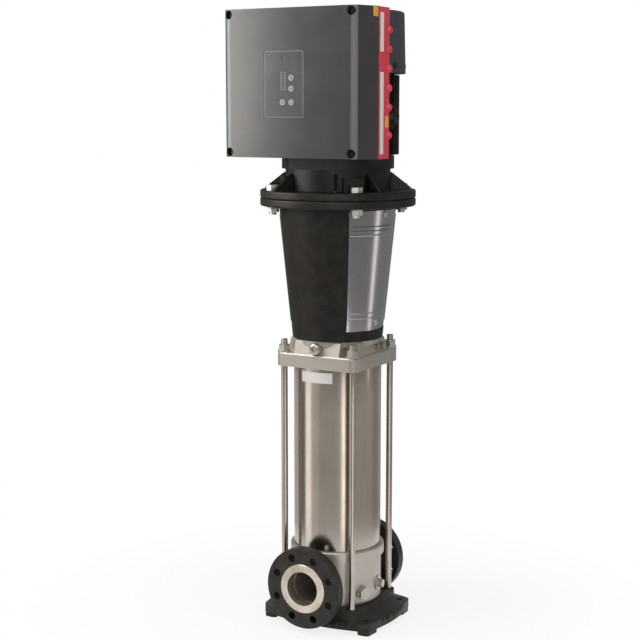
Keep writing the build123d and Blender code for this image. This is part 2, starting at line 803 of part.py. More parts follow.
def guard(turn):
    """Sheet cover over one window of the stool, beaded and folded at its edges."""
    start = window_azimuth + turn - guard_span / 2
    low = guard_bottom + seat_gap
    high = guard_top - seat_gap

    def inner(height):
        return stool_radius(height) - guard_recess + seat_gap / 2

    outer_points = []
    for height in guard_beads:
        outer_points += [(inner(height - guard_bead) + guard_thickness, height - guard_bead),
                         (inner(height) + guard_thickness + guard_bead, height),
                         (inner(height + guard_bead) + guard_thickness, height + guard_bead)]
    profile = [(inner(low), low), (inner(low) + guard_thickness, low)] + outer_points
    profile += [(inner(high) + guard_thickness, high), (inner(high), high)]
    sheet = Rot(0, 0, start) * turned(profile, guard_span)
    fold_low = low + guard_corner
    fold_high = high - guard_corner
    fold = turned([(inner(fold_low), fold_low), (inner(fold_low) + guard_fold, fold_low),
                   (inner(fold_high) + guard_fold, fold_high), (inner(fold_high), fold_high)], guard_fold_arc)
    sheet += Rot(0, 0, start) * fold
    sheet += Rot(0, 0, start + guard_span - guard_fold_arc) * fold
    for height in (guard_screw_low, guard_screw_high):
        sheet -= Rot(0, 0, window_azimuth + turn) * rod_along_x(guard_screw_radius + thread_gap, stool_foot_inner,
                                                                stool_flange_radius, 0, height)
    return Pos(0, 0, head_top) * sheet


def guard_screws():
    """Round-headed screws that hold the two guards."""
    screws = []
    for turn in (0, 180):
        for height in (guard_screw_low, guard_screw_high):
            seat = stool_radius(height) - guard_recess + guard_thickness + 3 * seat_gap
            screw = rod_along_x(guard_screw_radius, seat - guard_screw_length, seat, 0, height)
            head = rod_along_x(guard_screw_head, seat, seat + guard_head_height, 0, height)
            head = fillet(head.faces().sort_by(Axis.X)[-1].edges(), guard_head_height / 2)
            screws.append(Pos(0, 0, head_top) * (Rot(0, 0, window_azimuth + turn) * (screw + head)))
    return screws


def stool_screws():
    """Socket screws that hold the stool on the pump head."""
    top = head_top + stool_foot_height
    shank = drum(stool_screw_radius, head_top - stool_screw_depth, top, stool_screw_circle)
    head = drum(stool_screw_head, top, top + stool_screw_head_height, stool_screw_circle)
    head -= Pos(stool_screw_circle, 0, top + stool_screw_head_height / 2) * hexagon(
        stool_screw_radius * 1.6, stool_screw_head_height)
    return around(shank + head, 4, stool_screw_turn)


def motor_bolts():
    """Hexagon bolts through the stool flange and the motor flange."""
    low = motor_face - stool_flange_thickness - nut_height - bolt_overhang
    seat = motor_face + motor_flange_thickness
    bolt = drum(motor_bolt_radius, low, seat) + Pos(0, 0, seat) * hexagon(nut_across_flats, bolt_head_height)
    return around(Pos(motor_bolt_circle / 2, 0, 0) * bolt, 4, 45)


def motor_nuts():
    """Hexagon nuts under the stool flange."""
    low = motor_face - stool_flange_thickness - nut_height
    nut = hexagon(nut_across_flats, nut_height, motor_bolt_radius)
    return around(Pos(motor_bolt_circle / 2, 0, low) * nut, 4, 45)


# ---------------------------------------------------------------- motor
def drive_end_shield():
    """Motor flange: bearing seat, hub, upper ring and gussets beside the bolts."""
    flange_top = motor_flange_thickness
    hub_top = flange_top + shield_hub_height
    ring_low = hub_top + shield_gap
    top = ring_low + shield_ring_height
    waist = frame_radius
    shield = turned([(motor_shaft_radius + shaft_seal_gap, 0), (motor_register_radius - register_wall, 0),
                     (motor_register_radius - register_wall, -register_depth),
                     (motor_register_radius - seat_gap / 2, -register_depth),
                     (motor_register_radius - seat_gap / 2, 0),
                     (stool_flange_radius, 0), (stool_flange_radius, flange_top),
                     (shield_hub_radius, flange_top), (shield_hub_radius, hub_top), (waist, hub_top),
                     (waist, ring_low), (shield_ring_radius, ring_low), (shield_ring_radius, top),
                     (frame_bore_radius, top), (frame_bore_radius, flange_top),
                     (bearing_outer_radius + bearing_seat_wall, flange_top),
                     (bearing_outer_radius + bearing_seat_wall, flange_top + bearing_width),
                     (bearing_outer_radius, flange_top + bearing_width), (bearing_outer_radius, flange_top),
                     (motor_shaft_radius + shaft_seal_gap, flange_top)])
    rim = [edge for edge in shield.edges().filter_by(GeomType.CIRCLE)
           if abs(edge.radius - stool_flange_radius) < 0.5]
    shield = fillet(rim, 4.0)
    root = waist - 1
    gusset = Polyline((root, 0, flange_top - 1), (shield_hub_radius + gusset_reach, 0, flange_top - 1),
                      (shield_hub_radius + gusset_reach, 0, flange_top + 4), (shield_hub_radius + 2, 0, hub_top),
                      (root, 0, hub_top), close=True)
    plate = Pos(0, gusset_thickness / 2, 0) * extrude(make_face(gusset), gusset_thickness, dir=(0, -1, 0))
    pad = block(root, shield_hub_radius + pad_rise, -pad_width / 2, pad_width / 2, flange_top - 1, hub_top - 8)
    for bolt_azimuth in (45, 135, 225, 315):
        for turn in (-gusset_spread, gusset_spread):
            shield += Rot(0, 0, bolt_azimuth + turn) * plate
        shield += Rot(0, 0, bolt_azimuth) * pad
    for hole in around(drum(motor_bolt_radius + thread_gap, 0, flange_top, motor_bolt_circle / 2), 4, 45):
        shield -= hole
    shield -= block(-tall, tall, -tall, -flat_side, ring_low, tall)
    return Pos(0, 0, motor_face) * shield


def bearing_outer_races():
    """Outer races, with their shields, of the lower and the upper ball bearing."""
    front = motor_face + motor_flange_thickness
    rear = frame_top - rear_bearing_width
    return [tube(bearing_outer_radius, bearing_outer_radius - bearing_race, front, front + bearing_width),
            tube(rear_bearing_outer_radius, rear_bearing_outer_radius - bearing_race, rear, frame_top)]


def bearing_inner_races():
    """Inner races, with the ball cages, that turn with the motor shaft."""
    front = motor_face + motor_flange_thickness
    rear = frame_top - rear_bearing_width
    lower = bearing_outer_radius - bearing_race - seat_gap
    upper = rear_bearing_outer_radius - bearing_race - seat_gap
    return [tube(lower, bearing_inner_radius, front, front + bearing_width),
            tube(upper, rear_bearing_inner_radius, rear, frame_top)]


def motor_shaft():
    """Stepped shaft from the coupling through both bearings to the fan."""
    front = motor_face + motor_flange_thickness
    rear = frame_top - rear_bearing_width
    fan_end = rear_shield_top + fan_clearance + fan_height
    shaft = drum(motor_shaft_radius, shaft_end, front)
    shaft += drum(bearing_inner_radius, front, front + bearing_width)
    shaft += drum(rotor_shaft_radius, front + bearing_width, rear)
    shaft += drum(rear_bearing_inner_radius, rear, fan_end)
    return chamfer(shaft.edges().group_by(Axis.Z)[0], 1.5)


def motor_rotor():
    """Laminated rotor core on the motor shaft."""
    low = stator_low()
    return tube(stator_inner_radius - air_gap, rotor_shaft_radius, low, low + stator_length)


def stator_low():
    """Height of the lower end of the stator core."""
    return shield_top + (frame_length - stator_length) / 2


def stator():
    """Laminated stator core with the winding heads at both ends."""
    low = stator_low()
    core = tube(frame_bore_radius, stator_inner_radius, low, low + stator_length)
    heads = tube(winding_outer_radius, winding_inner_radius, low - winding_length,
                 low + stator_length + winding_length)
    return core + heads


def motor_frame():
    """Cast motor frame with upright fins and a flat seat for the drive box."""
    frame = drum(frame_radius, shield_top, frame_top)
    fin = block(frame_radius - 2, fin_radius, -fin_thickness / 2, fin_thickness / 2,
                shield_top + fin_end_gap, frame_top - fin_end_gap)
    for index in range(fin_count):
        azimuth = 360.0 * (index + 0.5) / fin_count
        if sin(radians(azimuth)) * frame_radius > -flat_side + fin_thickness:
            frame += Rot(0, 0, azimuth) * fin
    frame -= drum(frame_bore_radius, shield_top, frame_top)
    frame -= block(-tall, tall, -tall, -flat_side, shield_top, frame_top)
    height = shield_top + lug_height
    pad = rod_along_x(lug_pad_radius, frame_radius - 3, fin_radius + lug_pad_rise, 0, height)
    hole = rod_along_x(lug_bolt_radius, frame_radius - 3, fin_radius + lug_pad_rise, 0, height)
    return frame + Rot(0, 0, lug_azimuth) * pad - Rot(0, 0, lug_azimuth) * hole


def rear_end_shield():
    """Rear cover of the motor with its bearing seat and four lugs for the cowl."""
    floor = turned([(rear_bearing_inner_radius + 2, frame_top), (frame_radius, frame_top),
                    (frame_radius, rear_shield_top), (rear_bearing_inner_radius + 2, rear_shield_top)])
    seat_low = frame_top - rear_bearing_width
    floor += tube(rear_bearing_outer_radius + bearing_seat_wall, rear_bearing_outer_radius, seat_low, frame_top)
    lug = block(frame_radius - 5, rear_lug_radius, -rear_lug_width / 2, rear_lug_width / 2,
                frame_top + 2, rear_shield_top + rear_lug_rise)
    for azimuth in cowl_screw_azimuths:
        floor += Rot(0, 0, azimuth) * lug
        floor -= Rot(0, 0, azimuth) * rod_along_x(cowl_screw_radius, frame_radius, rear_lug_radius, 0,
                                                  frame_top + cowl_screw_height)
    return floor - block(-tall, tall, -tall, -flat_side + cowl_wall + seat_gap, seat_low, cowl_top)


def cooling_fan():
    """Plastic fan with straight radial blades."""
    low = rear_shield_top + fan_clearance
    fan = tube(fan_hub_radius, rear_bearing_inner_radius, low, low + fan_height)
    fan += tube(fan_radius, fan_hub_radius - 2, low, low + fan_disc)
    blade = block(fan_hub_radius - 2, fan_radius, -fan_disc / 2, fan_disc / 2, low, low + fan_height)
    for copy in around(blade, fan_blade_count):
        fan += copy
    return fan


def fan_cowl():
    """Tapered fan cover with a slotted grille on top and a flat side at the drive box."""
    outer = turned([(0, frame_top), (cowl_bottom_radius, frame_top), (cowl_top_radius, cowl_top), (0, cowl_top)])
    outer = fillet(outer.edges().group_by(Axis.Z)[-1], 6.0)
    inner = turned([(0, frame_top - 1), (cowl_bottom_radius - cowl_wall, frame_top - 1),
                    (cowl_top_radius - cowl_wall, cowl_top - cowl_wall), (0, cowl_top - cowl_wall)])
    side = flat_side + cowl_flat_gap
    outer -= block(-tall, tall, -tall, -side, 0, tall)
    inner -= block(-tall, tall, -tall, -side + cowl_wall, 0, tall)
    cowl = outer - inner
    for index in range(cowl_slot_count):
        across = (index - (cowl_slot_count - 1) / 2) * 2 * cowl_slot_width
        reach = sqrt(fan_radius ** 2 - across ** 2)
        slot = block(across - cowl_slot_width / 2, across + cowl_slot_width / 2, -reach, reach,
                     cowl_top - 2 * cowl_wall, cowl_top + 1)
        rib = block(across - cowl_slot_width / 2, across + cowl_slot_width / 2,
                    -cowl_slot_width / 2, cowl_slot_width / 2, cowl_top - cowl_wall, cowl_top)
        cowl = cowl - slot + rib
    for azimuth in cowl_screw_azimuths:
        cowl -= Rot(0, 0, azimuth) * rod_along_x(cowl_screw_radius + thread_gap, rear_lug_radius - 2,
                                                 cowl_bottom_radius + 2, 0, frame_top + cowl_screw_height)
    return cowl


def cowl_screws():
    """Screws that hold the cowl on the rear shield's lugs."""
    screws = []
    seat = cowl_bottom_radius
    for azimuth in cowl_screw_azimuths:
        shank = rod_along_x(cowl_screw_radius, seat - cowl_screw_length, seat, 0, frame_top + cowl_screw_height)
        head = rod_along_x(cowl_screw_head, seat, seat + 3, 0, frame_top + cowl_screw_height)
        screws.append(Rot(0, 0, azimuth) * (shank + head))
    return screws


def lifting_lug():
    """Upright oval eye on the motor frame."""
    outline = SlotOverall(lug_tall, lug_wide) - SlotOverall(lug_tall - 2 * lug_rim, lug_wide - 2 * lug_rim)
    eye = extrude(outline, lug_depth)
    bridge = extrude(SlotOverall(lug_tall - lug_rim, lug_wide - lug_rim), lug_floor)
    eye = fillet(eye.edges().group_by(Axis.Z)[-1], 2.0) + bridge
    eye -= drum(lug_bolt_radius + thread_gap, 0, lug_floor)
    upright = Rot(0, 90, 0) * eye
    place = Pos(fin_radius + lug_pad_rise, 0, shield_top + lug_height) * upright
    return Rot(0, 0, lug_azimuth) * place


def lug_bolt():
    """Domed bolt through the lifting eye into the motor frame."""
    seat = fin_radius + lug_pad_rise + lug_floor
    height = shield_top + lug_height
    shank = rod_along_x(lug_bolt_radius, seat - lug_bolt_length, seat, 0, height)
    head = rod_along_x(lug_bolt_head, seat, seat + lug_head_height, 0, height)
    head = fillet(head.faces().sort_by(Axis.X)[-1].edges(), 3.0)
    return Rot(0, 0, lug_azimuth) * (shank + head)


# ---------------------------------------------------------------- drive box
def drive_base():
    """Board plate that carries the box on the motor's flat side."""
    back = -flat_side
    front = back - base_board_thickness
    inner = box_half_width - cable_frame_wall - seat_gap
    board = block(-inner, inner, front, back, box_low + cable_frame_wall + box_draft, box_high - cable_frame_wall
                  - box_draft)
    for x, z in cover_screw_places():
        board -= rod_along_y(cover_screw_radius, front, back, x, z)
    return board


def cable_frame():
    """Red frame round the back of the box, with domed entries along both sides."""
    front = -(box_front - cover_depth)
    back = front + cable_frame_depth
    outer = block(-box_half_width, box_half_width, front, back, box_low, box_high)
    outer = fillet(outer.edges().filter_by(Axis.Y), 4.0)
    wall = cable_frame_wall
    outer -= block(-box_half_width + wall, box_half_width - wall, front - 1, back - wall,
                   box_low + wall, box_high - wall)
    height = box_high - box_low
    for side in (-1, 1):
        for index in range(dome_count):
            share = (index + 0.5) / dome_count
            outer += Pos(side * dome_offset, back - dome_setback, box_low + height * share) * Sphere(dome_radius)
    saddle = drum(cowl_bottom_radius + saddle_gap, motor_face, tall)
    return outer - (saddle - block(-tall, tall, -tall, -flat_side - seat_gap, 0, 2 * tall))


def front_cover():
    """Moulded cover with rounded upright edges, screw recesses and a pocket for the panel."""
    front = -box_front
    back = front + cover_depth
    shell = cover_block(0, front, back, 0)
    hollow = cover_block(cover_wall, front + cover_front_wall, back + 1, cover_wall)
    cover = shell - hollow
    board_front = -flat_side - base_board_thickness
    for x, z in cover_screw_places():
        column = rod_along_y(screw_column_radius, front + cover_front_wall - 1, board_front, x, z)
        cover += column & shell
        cover -= rod_along_y(cover_screw_radius + thread_gap, front, back + 1, x, z)
        cover -= rod_along_y(screw_recess_radius, front - 1, front + screw_recess_depth, x, z)
    pocket = Pos(panel_middle_x, front - 1, panel_middle_z) * (Rot(-90, 0, 0) * extrude(
        RectangleRounded(panel_width + 2 * panel_gap, panel_height + 2 * panel_gap, panel_corner_radius),
        1 + panel_pocket))
    cover -= pocket
    for x, z in button_places.values():
        cover -= rod_along_y(button_stem_radius + button_gap, front, front + cover_front_wall + 1, x, z)
    return cover


def cover_block(inset, front, back, rise):
    """Solid block of the cover's form, smaller by an inset at its sides and ends."""
    half = box_half_width - inset
    shoulder = front + cover_edge_depth
    flat = half - cover_edge_width
    right = TangentArc((flat, front), (half, shoulder), tangent=(1, 0))
    left = TangentArc((-flat, front), (-half, shoulder), tangent=(-1, 0))
    rest = Polyline((half, shoulder), (half, back), (-half, back), (-half, shoulder))
    section = make_face([Line((-flat, front), (flat, front)), right, rest, left])
    low = box_low + rise
    high = box_high - rise
    form = Pos(0, 0, low) * extrude(section, high - low)
    side = Polyline((front - 1, low + box_draft), (back, low), (back, high), (front - 1, high - box_draft),
                    close=True)
    drafted = extrude(make_face(Plane.YZ * side), 2 * box_half_width, both=True)
    return form & drafted


def cover_screw_places():
    """X and Z of the four cover screws."""
    low = box_low + box_draft + screw_inset_z
    high = box_high - box_draft - screw_inset_z
    return [(x * (box_half_width - screw_inset_x), z) for x in (-1, 1) for z in (low, high)]


def cover_screws():
    """Long screws from the cover's recesses into the board plate."""
    seat = -box_front + screw_recess_depth
    screws = []
    for x, z in cover_screw_places():
        shank = rod_along_y(cover_screw_radius, seat, -flat_side, x, z)
        head = rod_along_y(cover_screw_head, seat - cover_screw_head_height, seat, x, z)
        socket = Pos(x, seat - cover_screw_head_height, z) * (
            Rot(-90, 0, 0) * hexagon(cover_screw_radius * 1.8, cover_screw_head_height / 2))
        screws.append(shank + head - socket)
    return screws


def control_panel():
    """Key plate in the cover's pocket, with holes for the keys and the indicator ring."""
    front = -box_front + panel_pocket - panel_thickness
    plate = Pos(panel_middle_x, front, panel_middle_z) * (Rot(-90, 0, 0) * extrude(
        RectangleRounded(panel_width, panel_height, panel_corner_radius), panel_thickness))
    plate = chamfer(plate.faces().sort_by(Axis.Y)[0].outer_wire().edges(), 0.3)
    for x, z in button_places.values():
        plate -= rod_along_y(button_radius + button_gap, front, -box_front + panel_pocket, x, z)
    ring = rod_along_y(indicator_radius, front, -box_front + panel_pocket, indicator_x, indicator_z)
    return plate - ring


def indicator_ring():
    """Light ring above the level bars."""
    front = -box_front + panel_pocket - panel_thickness
    back = -box_front + panel_pocket
    ring = rod_along_y(indicator_radius, front, back, indicator_x, indicator_z)
    return ring - rod_along_y(indicator_radius - indicator_wall, front, front + indicator_wall, indicator_x,
                              indicator_z)


def button(place):
    """Domed key with its stem; it travels into the panel."""
    x, z = place
    front = -box_front + panel_pocket - panel_thickness
    rear = -box_front + panel_pocket - button_travel - seat_gap
    cap = rod_along_y(button_radius, front - button_height, rear, x, z)
    cap = fillet(cap.faces().sort_by(Axis.Y)[0].edges(), button_height * 0.9)
    return cap + rod_along_y(button_stem_radius, rear, -box_front + cover_front_wall, x, z)


def power_board():
    """Power electronics block on the board plate inside the box."""
    front = -flat_side - base_board_thickness
    block_low = box_low + cable_frame_wall + board_margin
    return block(-box_half_width + board_margin, box_half_width - board_margin, front - board_depth, front,
                 block_low, box_high - cable_frame_wall - board_margin)


# ---------------------------------------------------------------- small fittings on the pump head
def vent_screw():
    """Domed vent screw with a hexagon socket, in the middle of the head's front."""
    face = -vent_seat
    head = rod_along_y(vent_head_radius, face - vent_head_height, face - seat_gap, z=0)
    head = fillet(head.faces().sort_by(Axis.Y)[0].edges(), vent_head_height * 0.6)
    shank = rod_along_y(vent_shank_radius - seat_gap, face - seat_gap, face + vent_shank_length)
    socket = Pos(0, face - vent_head_height, 0) * (Rot(-90, 0, 0) * hexagon(vent_socket, vent_head_height / 2))
    return Pos(0, 0, head_bottom + vent_height) * (head + shank - socket)


def side_plug():
    """Brass screw in the head's right face."""
    return side_fitting_shape(side_plug_y, side_plug_head, 5.0)


def side_fitting():
    """Steel vent piece beside the brass screw."""
    return side_fitting_shape(side_fitting_y, side_plug_head + 1.0, 7.0)


def side_fitting_shape(offset, across_flats, length):
    """Small threaded fitting with a hexagon head on the head's right face."""
    height = head_bottom + side_plug_height
    shank = rod_along_x(side_plug_radius, side_seat - side_plug_depth, side_seat, offset, height)
    head = Pos(side_seat, offset, height) * (Rot(0, 90, 0) * hexagon(across_flats, length))
    return shank + head


# ---------------------------------------------------------------- the pieces
panel_middle_x = panel_low_x + panel_width / 2
panel_middle_z = panel_low + panel_height / 2

nodes = {
    "base_plate": base_plate(),
    "pump_housing": pump_housing(),
    "suction_collar": port_collar(-1),
    "discharge_collar": port_collar(1),
    "suction_flange": port_flange(-1),
    "discharge_flange": port_flange(1),
    "drain_plug": drain_plug(),
    "gauge_plug": gauge_plug(),
    "outer_sleeve": outer_sleeve(),
    "sleeve_o_rings": sleeve_o_rings(),
    "tie_rods": tie_rods(),
    "tie_rod_washers": tie_rod_washers(),
    "tie_rod_nuts": tie_rod_nuts(),
    "pump_head": pump_head(),
    "vent_screw": vent_screw(),
    "head_plug": side_plug(),
    "head_fitting": side_fitting(),
    "stage_chambers": [stage_chamber(index) for index in range(stage_count)],
    "impellers": [placed_impeller(index) for index in range(stage_count)],
    "neck_rings": neck_rings(),
    "shaft_bushes": shaft_bushes(),
    "discharge_spacer": discharge_spacer(),
    "pump_shaft": pump_shaft(),
    "seal_carrier": seal_carrier(),
    "seal_seat": seal_seat(),
    "seal_rotor": seal_rotor(),
    "coupling_half_right": coupling_half(1),
    "coupling_half_left": coupling_half(-1),
    "coupling_screws": coupling_screws(),
    "motor_stool": motor_stool(),
    "guard_right": guard(0),
    "guard_left": guard(180),
    "guard_screws": guard_screws(),
    "stool_screws": stool_screws(),
    "motor_bolts": motor_bolts(),
    "motor_nuts": motor_nuts(),
    "drive_end_shield": drive_end_shield(),
    "motor_frame": motor_frame(),
    "stator": stator(),
    "motor_shaft": motor_shaft(),
    "motor_rotor": motor_rotor(),
    "rear_end_shield": rear_end_shield(),
    "bearing_outer_races": bearing_outer_races(),
    "bearing_inner_races": bearing_inner_races(),
    "cooling_fan": cooling_fan(),
    "fan_cowl": fan_cowl(),
    "cowl_screws": cowl_screws(),
    "lifting_lug": lifting_lug(),
    "lug_bolt": lug_bolt(),
    "drive_base": drive_base(),
    "power_board": power_board(),
    "cable_frame": cable_frame(),
    "front_cover": front_cover(),
    "cover_screws": cover_screws(),
    "control_panel": control_panel(),
    "indicator_ring": indicator_ring(),
}
for name, place in button_places.items():
    nodes["button_" + name] = button(place)

os.makedirs("parts", exist_ok=True)
for name, shape in nodes.items():
    solid = Compound(shape) if isinstance(shape, list) else shape
    export_step(solid, "parts/" + name + ".step")
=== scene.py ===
"""Looks of a vertical multistage pump: finishes, small trim, studio and camera."""
import json
import logging
from dataclasses import dataclass
from enum import Enum
from math import copysign, cos, pi, radians, sin
from typing import Any, Sequence

import bpy
from mathutils import Matrix, Vector


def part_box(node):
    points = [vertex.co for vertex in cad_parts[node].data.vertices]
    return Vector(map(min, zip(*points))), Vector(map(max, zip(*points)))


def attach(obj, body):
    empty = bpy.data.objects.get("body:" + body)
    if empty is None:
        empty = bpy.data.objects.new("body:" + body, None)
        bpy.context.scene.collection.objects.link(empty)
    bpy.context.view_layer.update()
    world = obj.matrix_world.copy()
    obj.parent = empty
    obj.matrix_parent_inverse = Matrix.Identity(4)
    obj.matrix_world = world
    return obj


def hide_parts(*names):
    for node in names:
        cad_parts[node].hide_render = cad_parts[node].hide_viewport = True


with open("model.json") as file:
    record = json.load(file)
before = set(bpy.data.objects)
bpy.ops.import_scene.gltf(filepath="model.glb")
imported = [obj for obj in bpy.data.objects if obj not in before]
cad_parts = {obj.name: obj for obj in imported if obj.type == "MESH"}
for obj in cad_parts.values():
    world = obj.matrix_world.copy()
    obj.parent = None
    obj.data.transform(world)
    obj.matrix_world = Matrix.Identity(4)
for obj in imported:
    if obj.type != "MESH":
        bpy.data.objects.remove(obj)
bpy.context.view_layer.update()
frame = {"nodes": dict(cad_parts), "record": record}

MM = 0.001
WELD = 1e-6                 # points of a CAD mesh closer than this, in metres, are one
SOLID_ANGLE = 30.0          # edges of a machined piece sharper than this stay sharp, in degrees

log = logging.getLogger("pump")

Colour = tuple[float, float, float]
Point = tuple[float, float, float]


# ------------------------------------------------------------------ shader building
class Value:
    """A number or texture output that varies over a surface, with arithmetic."""

    def __init__(self, shader: "Shader", socket: Any) -> None:
        """Wraps one output socket."""
        self.shader = shader
        self.socket = socket

    def _math(self, operation: str, first: Any, second: Any) -> "Value":
        """Adds a Math node.

        Args:
            operation: the Math node's operation.
            first: a Value or a number.
            second: a Value or a number.

        Returns:
            The node's output as a Value.
        """
        return self.shader.value("ShaderNodeMath", {"operation": operation}, {0: first, 1: second})

    def __add__(self, other: Any) -> "Value":
        """Sum."""
        return self._math("ADD", self, other)

    __radd__ = __add__

    def __mul__(self, other: Any) -> "Value":
        """Product."""
        return self._math("MULTIPLY", self, other)

    __rmul__ = __mul__

    def __sub__(self, other: Any) -> "Value":
        """Difference."""
        return self._math("SUBTRACT", self, other)

    def __rsub__(self, other: Any) -> "Value":
        """Difference, the other way round."""
        return self._math("SUBTRACT", other, self)

    def at_least(self, other: Any) -> "Value":
        """The larger of the two."""
        return self._math("MAXIMUM", self, other)


class Shader:
    """Builds one node material around a Principled shader."""

    def __init__(self, name: str) -> None:
        """Starts an empty material of that name."""
        self.material = bpy.data.materials.new(name)
        self.material.use_nodes = True
        self.tree = self.material.node_tree
        self.tree.nodes.clear()
        self.output = self.tree.nodes.new("ShaderNodeOutputMaterial")
        self.surface = self.tree.nodes.new("ShaderNodeBsdfPrincipled")
        self.tree.links.new(self.surface.outputs[0], self.output.inputs["Surface"])
        self.place = self.tree.nodes.new("ShaderNodeTexCoord").outputs["Object"]

    def node(self, kind: str, settings: dict[str, Any], inputs: dict[Any, Any]) -> Any:
        """Adds any node.

        Args:
            kind: the node's type name.
            settings: attributes of the node, set before its sockets.
            inputs: socket name or index to a Value, a socket or a plain value.

        Returns:
            The new node.
        """
        made = self.tree.nodes.new(kind)
        for key, setting in settings.items():
            setattr(made, key, setting)
        for key, given in inputs.items():
            socket = made.inputs[key]
            if isinstance(given, Value):
                self.tree.links.new(given.socket, socket)
            elif isinstance(given, bpy.types.NodeSocket):
                self.tree.links.new(given, socket)
            else:
                socket.default_value = given
        return made

    def value(self, kind: str, settings: dict[str, Any], inputs: dict[Any, Any], output: Any = 0) -> Value:
        """Adds a node and wraps one of its outputs."""
        return Value(self, self.node(kind, settings, inputs).outputs[output])

    def stretched(self, scale: Point) -> Any:
        """Object coordinates scaled along each axis."""
        return self.node("ShaderNodeMapping", {}, {"Vector": self.place, "Scale": scale}).outputs[0]

    def noise(self, scale: float, detail: float = 3.0, stretch: Point = (1.0, 1.0, 1.0)) -> Value:
        """Noise between 0 and 1 at a scale per metre."""
        inputs = {"Vector": self.stretched(stretch), "Scale": scale, "Detail": detail, "Roughness": 0.55}
        return self.value("ShaderNodeTexNoise", {}, inputs)

    def ramp(self, source: Value, low: float, high: float) -> Value:
        """Smooth step from 0 to 1 between two levels of a value."""
        settings = {"interpolation_type": "SMOOTHSTEP"}
        return self.value("ShaderNodeMapRange", settings, {"Value": source, "From Min": low, "From Max": high})

    def blend(self, factor: Value, first: Any, second: Any) -> Any:
        """Colour socket that mixes two colours."""
        made = self.tree.nodes.new("ShaderNodeMix")
        made.data_type = "RGBA"
        self.tree.links.new(factor.socket, made.inputs["Factor"])
        for socket, colour in ((made.inputs[6], first), (made.inputs[7], second)):
            if isinstance(colour, bpy.types.NodeSocket):
                self.tree.links.new(colour, socket)
            else:
                socket.default_value = (*colour, 1.0)
        return made.outputs[2]

    def bump(self, height: Value, distance: float, strength: float = 1.0, under: Any = None) -> Any:
        """Normal socket from a height in metres."""
        inputs = {"Height": height, "Distance": distance, "Strength": strength}
        if under is not None:
            inputs["Normal"] = under
        return self.node("ShaderNodeBump", {}, inputs).outputs[0]

    def finish(self, plain: dict[str, Any], varying: dict[str, Any]) -> Any:
        """Sets the Principled shader.

        Args:
            plain: socket name to a value that is the same all over.
            varying: socket name to a Value or socket.

        Returns:
            The finished material.
        """
        for key, given in plain.items():
            self.surface.inputs[key].default_value = given
        for key, given in varying.items():
            source = given.socket if isinstance(given, Value) else given
            self.tree.links.new(source, self.surface.inputs[key])
        return self.material


# ------------------------------------------------------------------ finishes
@dataclass(frozen=True)
class Casting:
    """Rough sand casting under a thin coat of black paint."""

    name: str
    colour: Colour = (0.0125, 0.0105, 0.0088)
    worn: Colour = (0.021, 0.018, 0.015)
    speck: Colour = (0.085, 0.075, 0.064)
    grain: float = 420.0
    depth: float = 0.0007
    specular: float = 0.22
    dust_band: tuple[float, float] = (0.72, 0.80)
    dust_share: float = 0.6
    tone_band: tuple[float, float] = (0.38, 0.66)
    least_rough: float = 0.22
    relief: float = 0.55

    def material(self) -> Any:
        """Node material of the casting, from a coarse, a fine and a pitted noise."""
        shader = Shader(self.name)
        coarse = shader.noise(self.grain * 0.10, 3.0)
        fine = shader.noise(self.grain, 4.0)
        pits = shader.noise(self.grain * 2.6, 2.0)
        dust = shader.ramp(shader.noise(self.grain * 1.9, 1.0), *self.dust_band)
        tone = shader.blend(shader.ramp(coarse * 0.6 + fine * 0.4, *self.tone_band), self.colour, self.worn)
        dusted = shader.blend(dust * self.dust_share, tone, self.speck)
        normal = shader.bump(fine * 0.7 + pits * 0.5, self.depth, self.relief)
        rough = coarse * 0.12 + fine * 0.26 + self.least_rough
        return shader.finish({"Specular IOR Level": self.specular},
                             {"Base Color": dusted, "Roughness": rough, "Normal": normal})


@dataclass(frozen=True)
class Metal:
    """Bare metal with grain, faint stains and a direction of brushing."""

    name: str
    colour: Colour
    stain: Colour
    rough: float = 0.3
    spread: float = 0.14
    grain: float = 900.0
    stretch: Point = (1.0, 1.0, 1.0)
    depth: float = 0.00006
    bare: float = 1.0
    patches: float = 9.0

    def material(self) -> Any:
        """Node material of the metal."""
        shader = Shader(self.name)
        cloud = shader.noise(self.patches, 3.0)
        brushed = shader.noise(self.grain, 3.0, self.stretch)
        tone = shader.blend(shader.ramp(cloud * 0.7 + brushed * 0.3, 0.35, 0.68), self.colour, self.stain)
        rough = cloud * self.spread + brushed * self.spread + (self.rough - self.spread)
        normal = shader.bump(brushed, self.depth, 0.5)
        return shader.finish({"Metallic": self.bare},
                             {"Base Color": tone, "Roughness": rough, "Normal": normal})


@dataclass(frozen=True)
class Moulding:
    """Moulded or painted surface with a fine spark texture."""

    name: str
    colour: Colour
    shade: Colour
    rough: float = 0.45
    texture: float = 1500.0
    depth: float = 0.00012
    coat: float = 0.0
    specular: float = 0.5

    def material(self) -> Any:
        """Node material of the moulding."""
        shader = Shader(self.name)
        spark = shader.noise(self.texture, 2.0)
        cloud = shader.noise(14.0, 3.0)
        tone = shader.blend(shader.ramp(cloud * 0.6 + spark * 0.4, 0.35, 0.65), self.colour, self.shade)
        rough = spark * 0.14 + cloud * 0.08 + (self.rough - 0.11)
        normal = shader.bump(spark, self.depth, 0.5)
        plain = {"Coat Weight": self.coat, "Coat Roughness": 0.08, "Specular IOR Level": self.specular}
        return shader.finish(plain, {"Base Color": tone, "Roughness": rough, "Normal": normal})


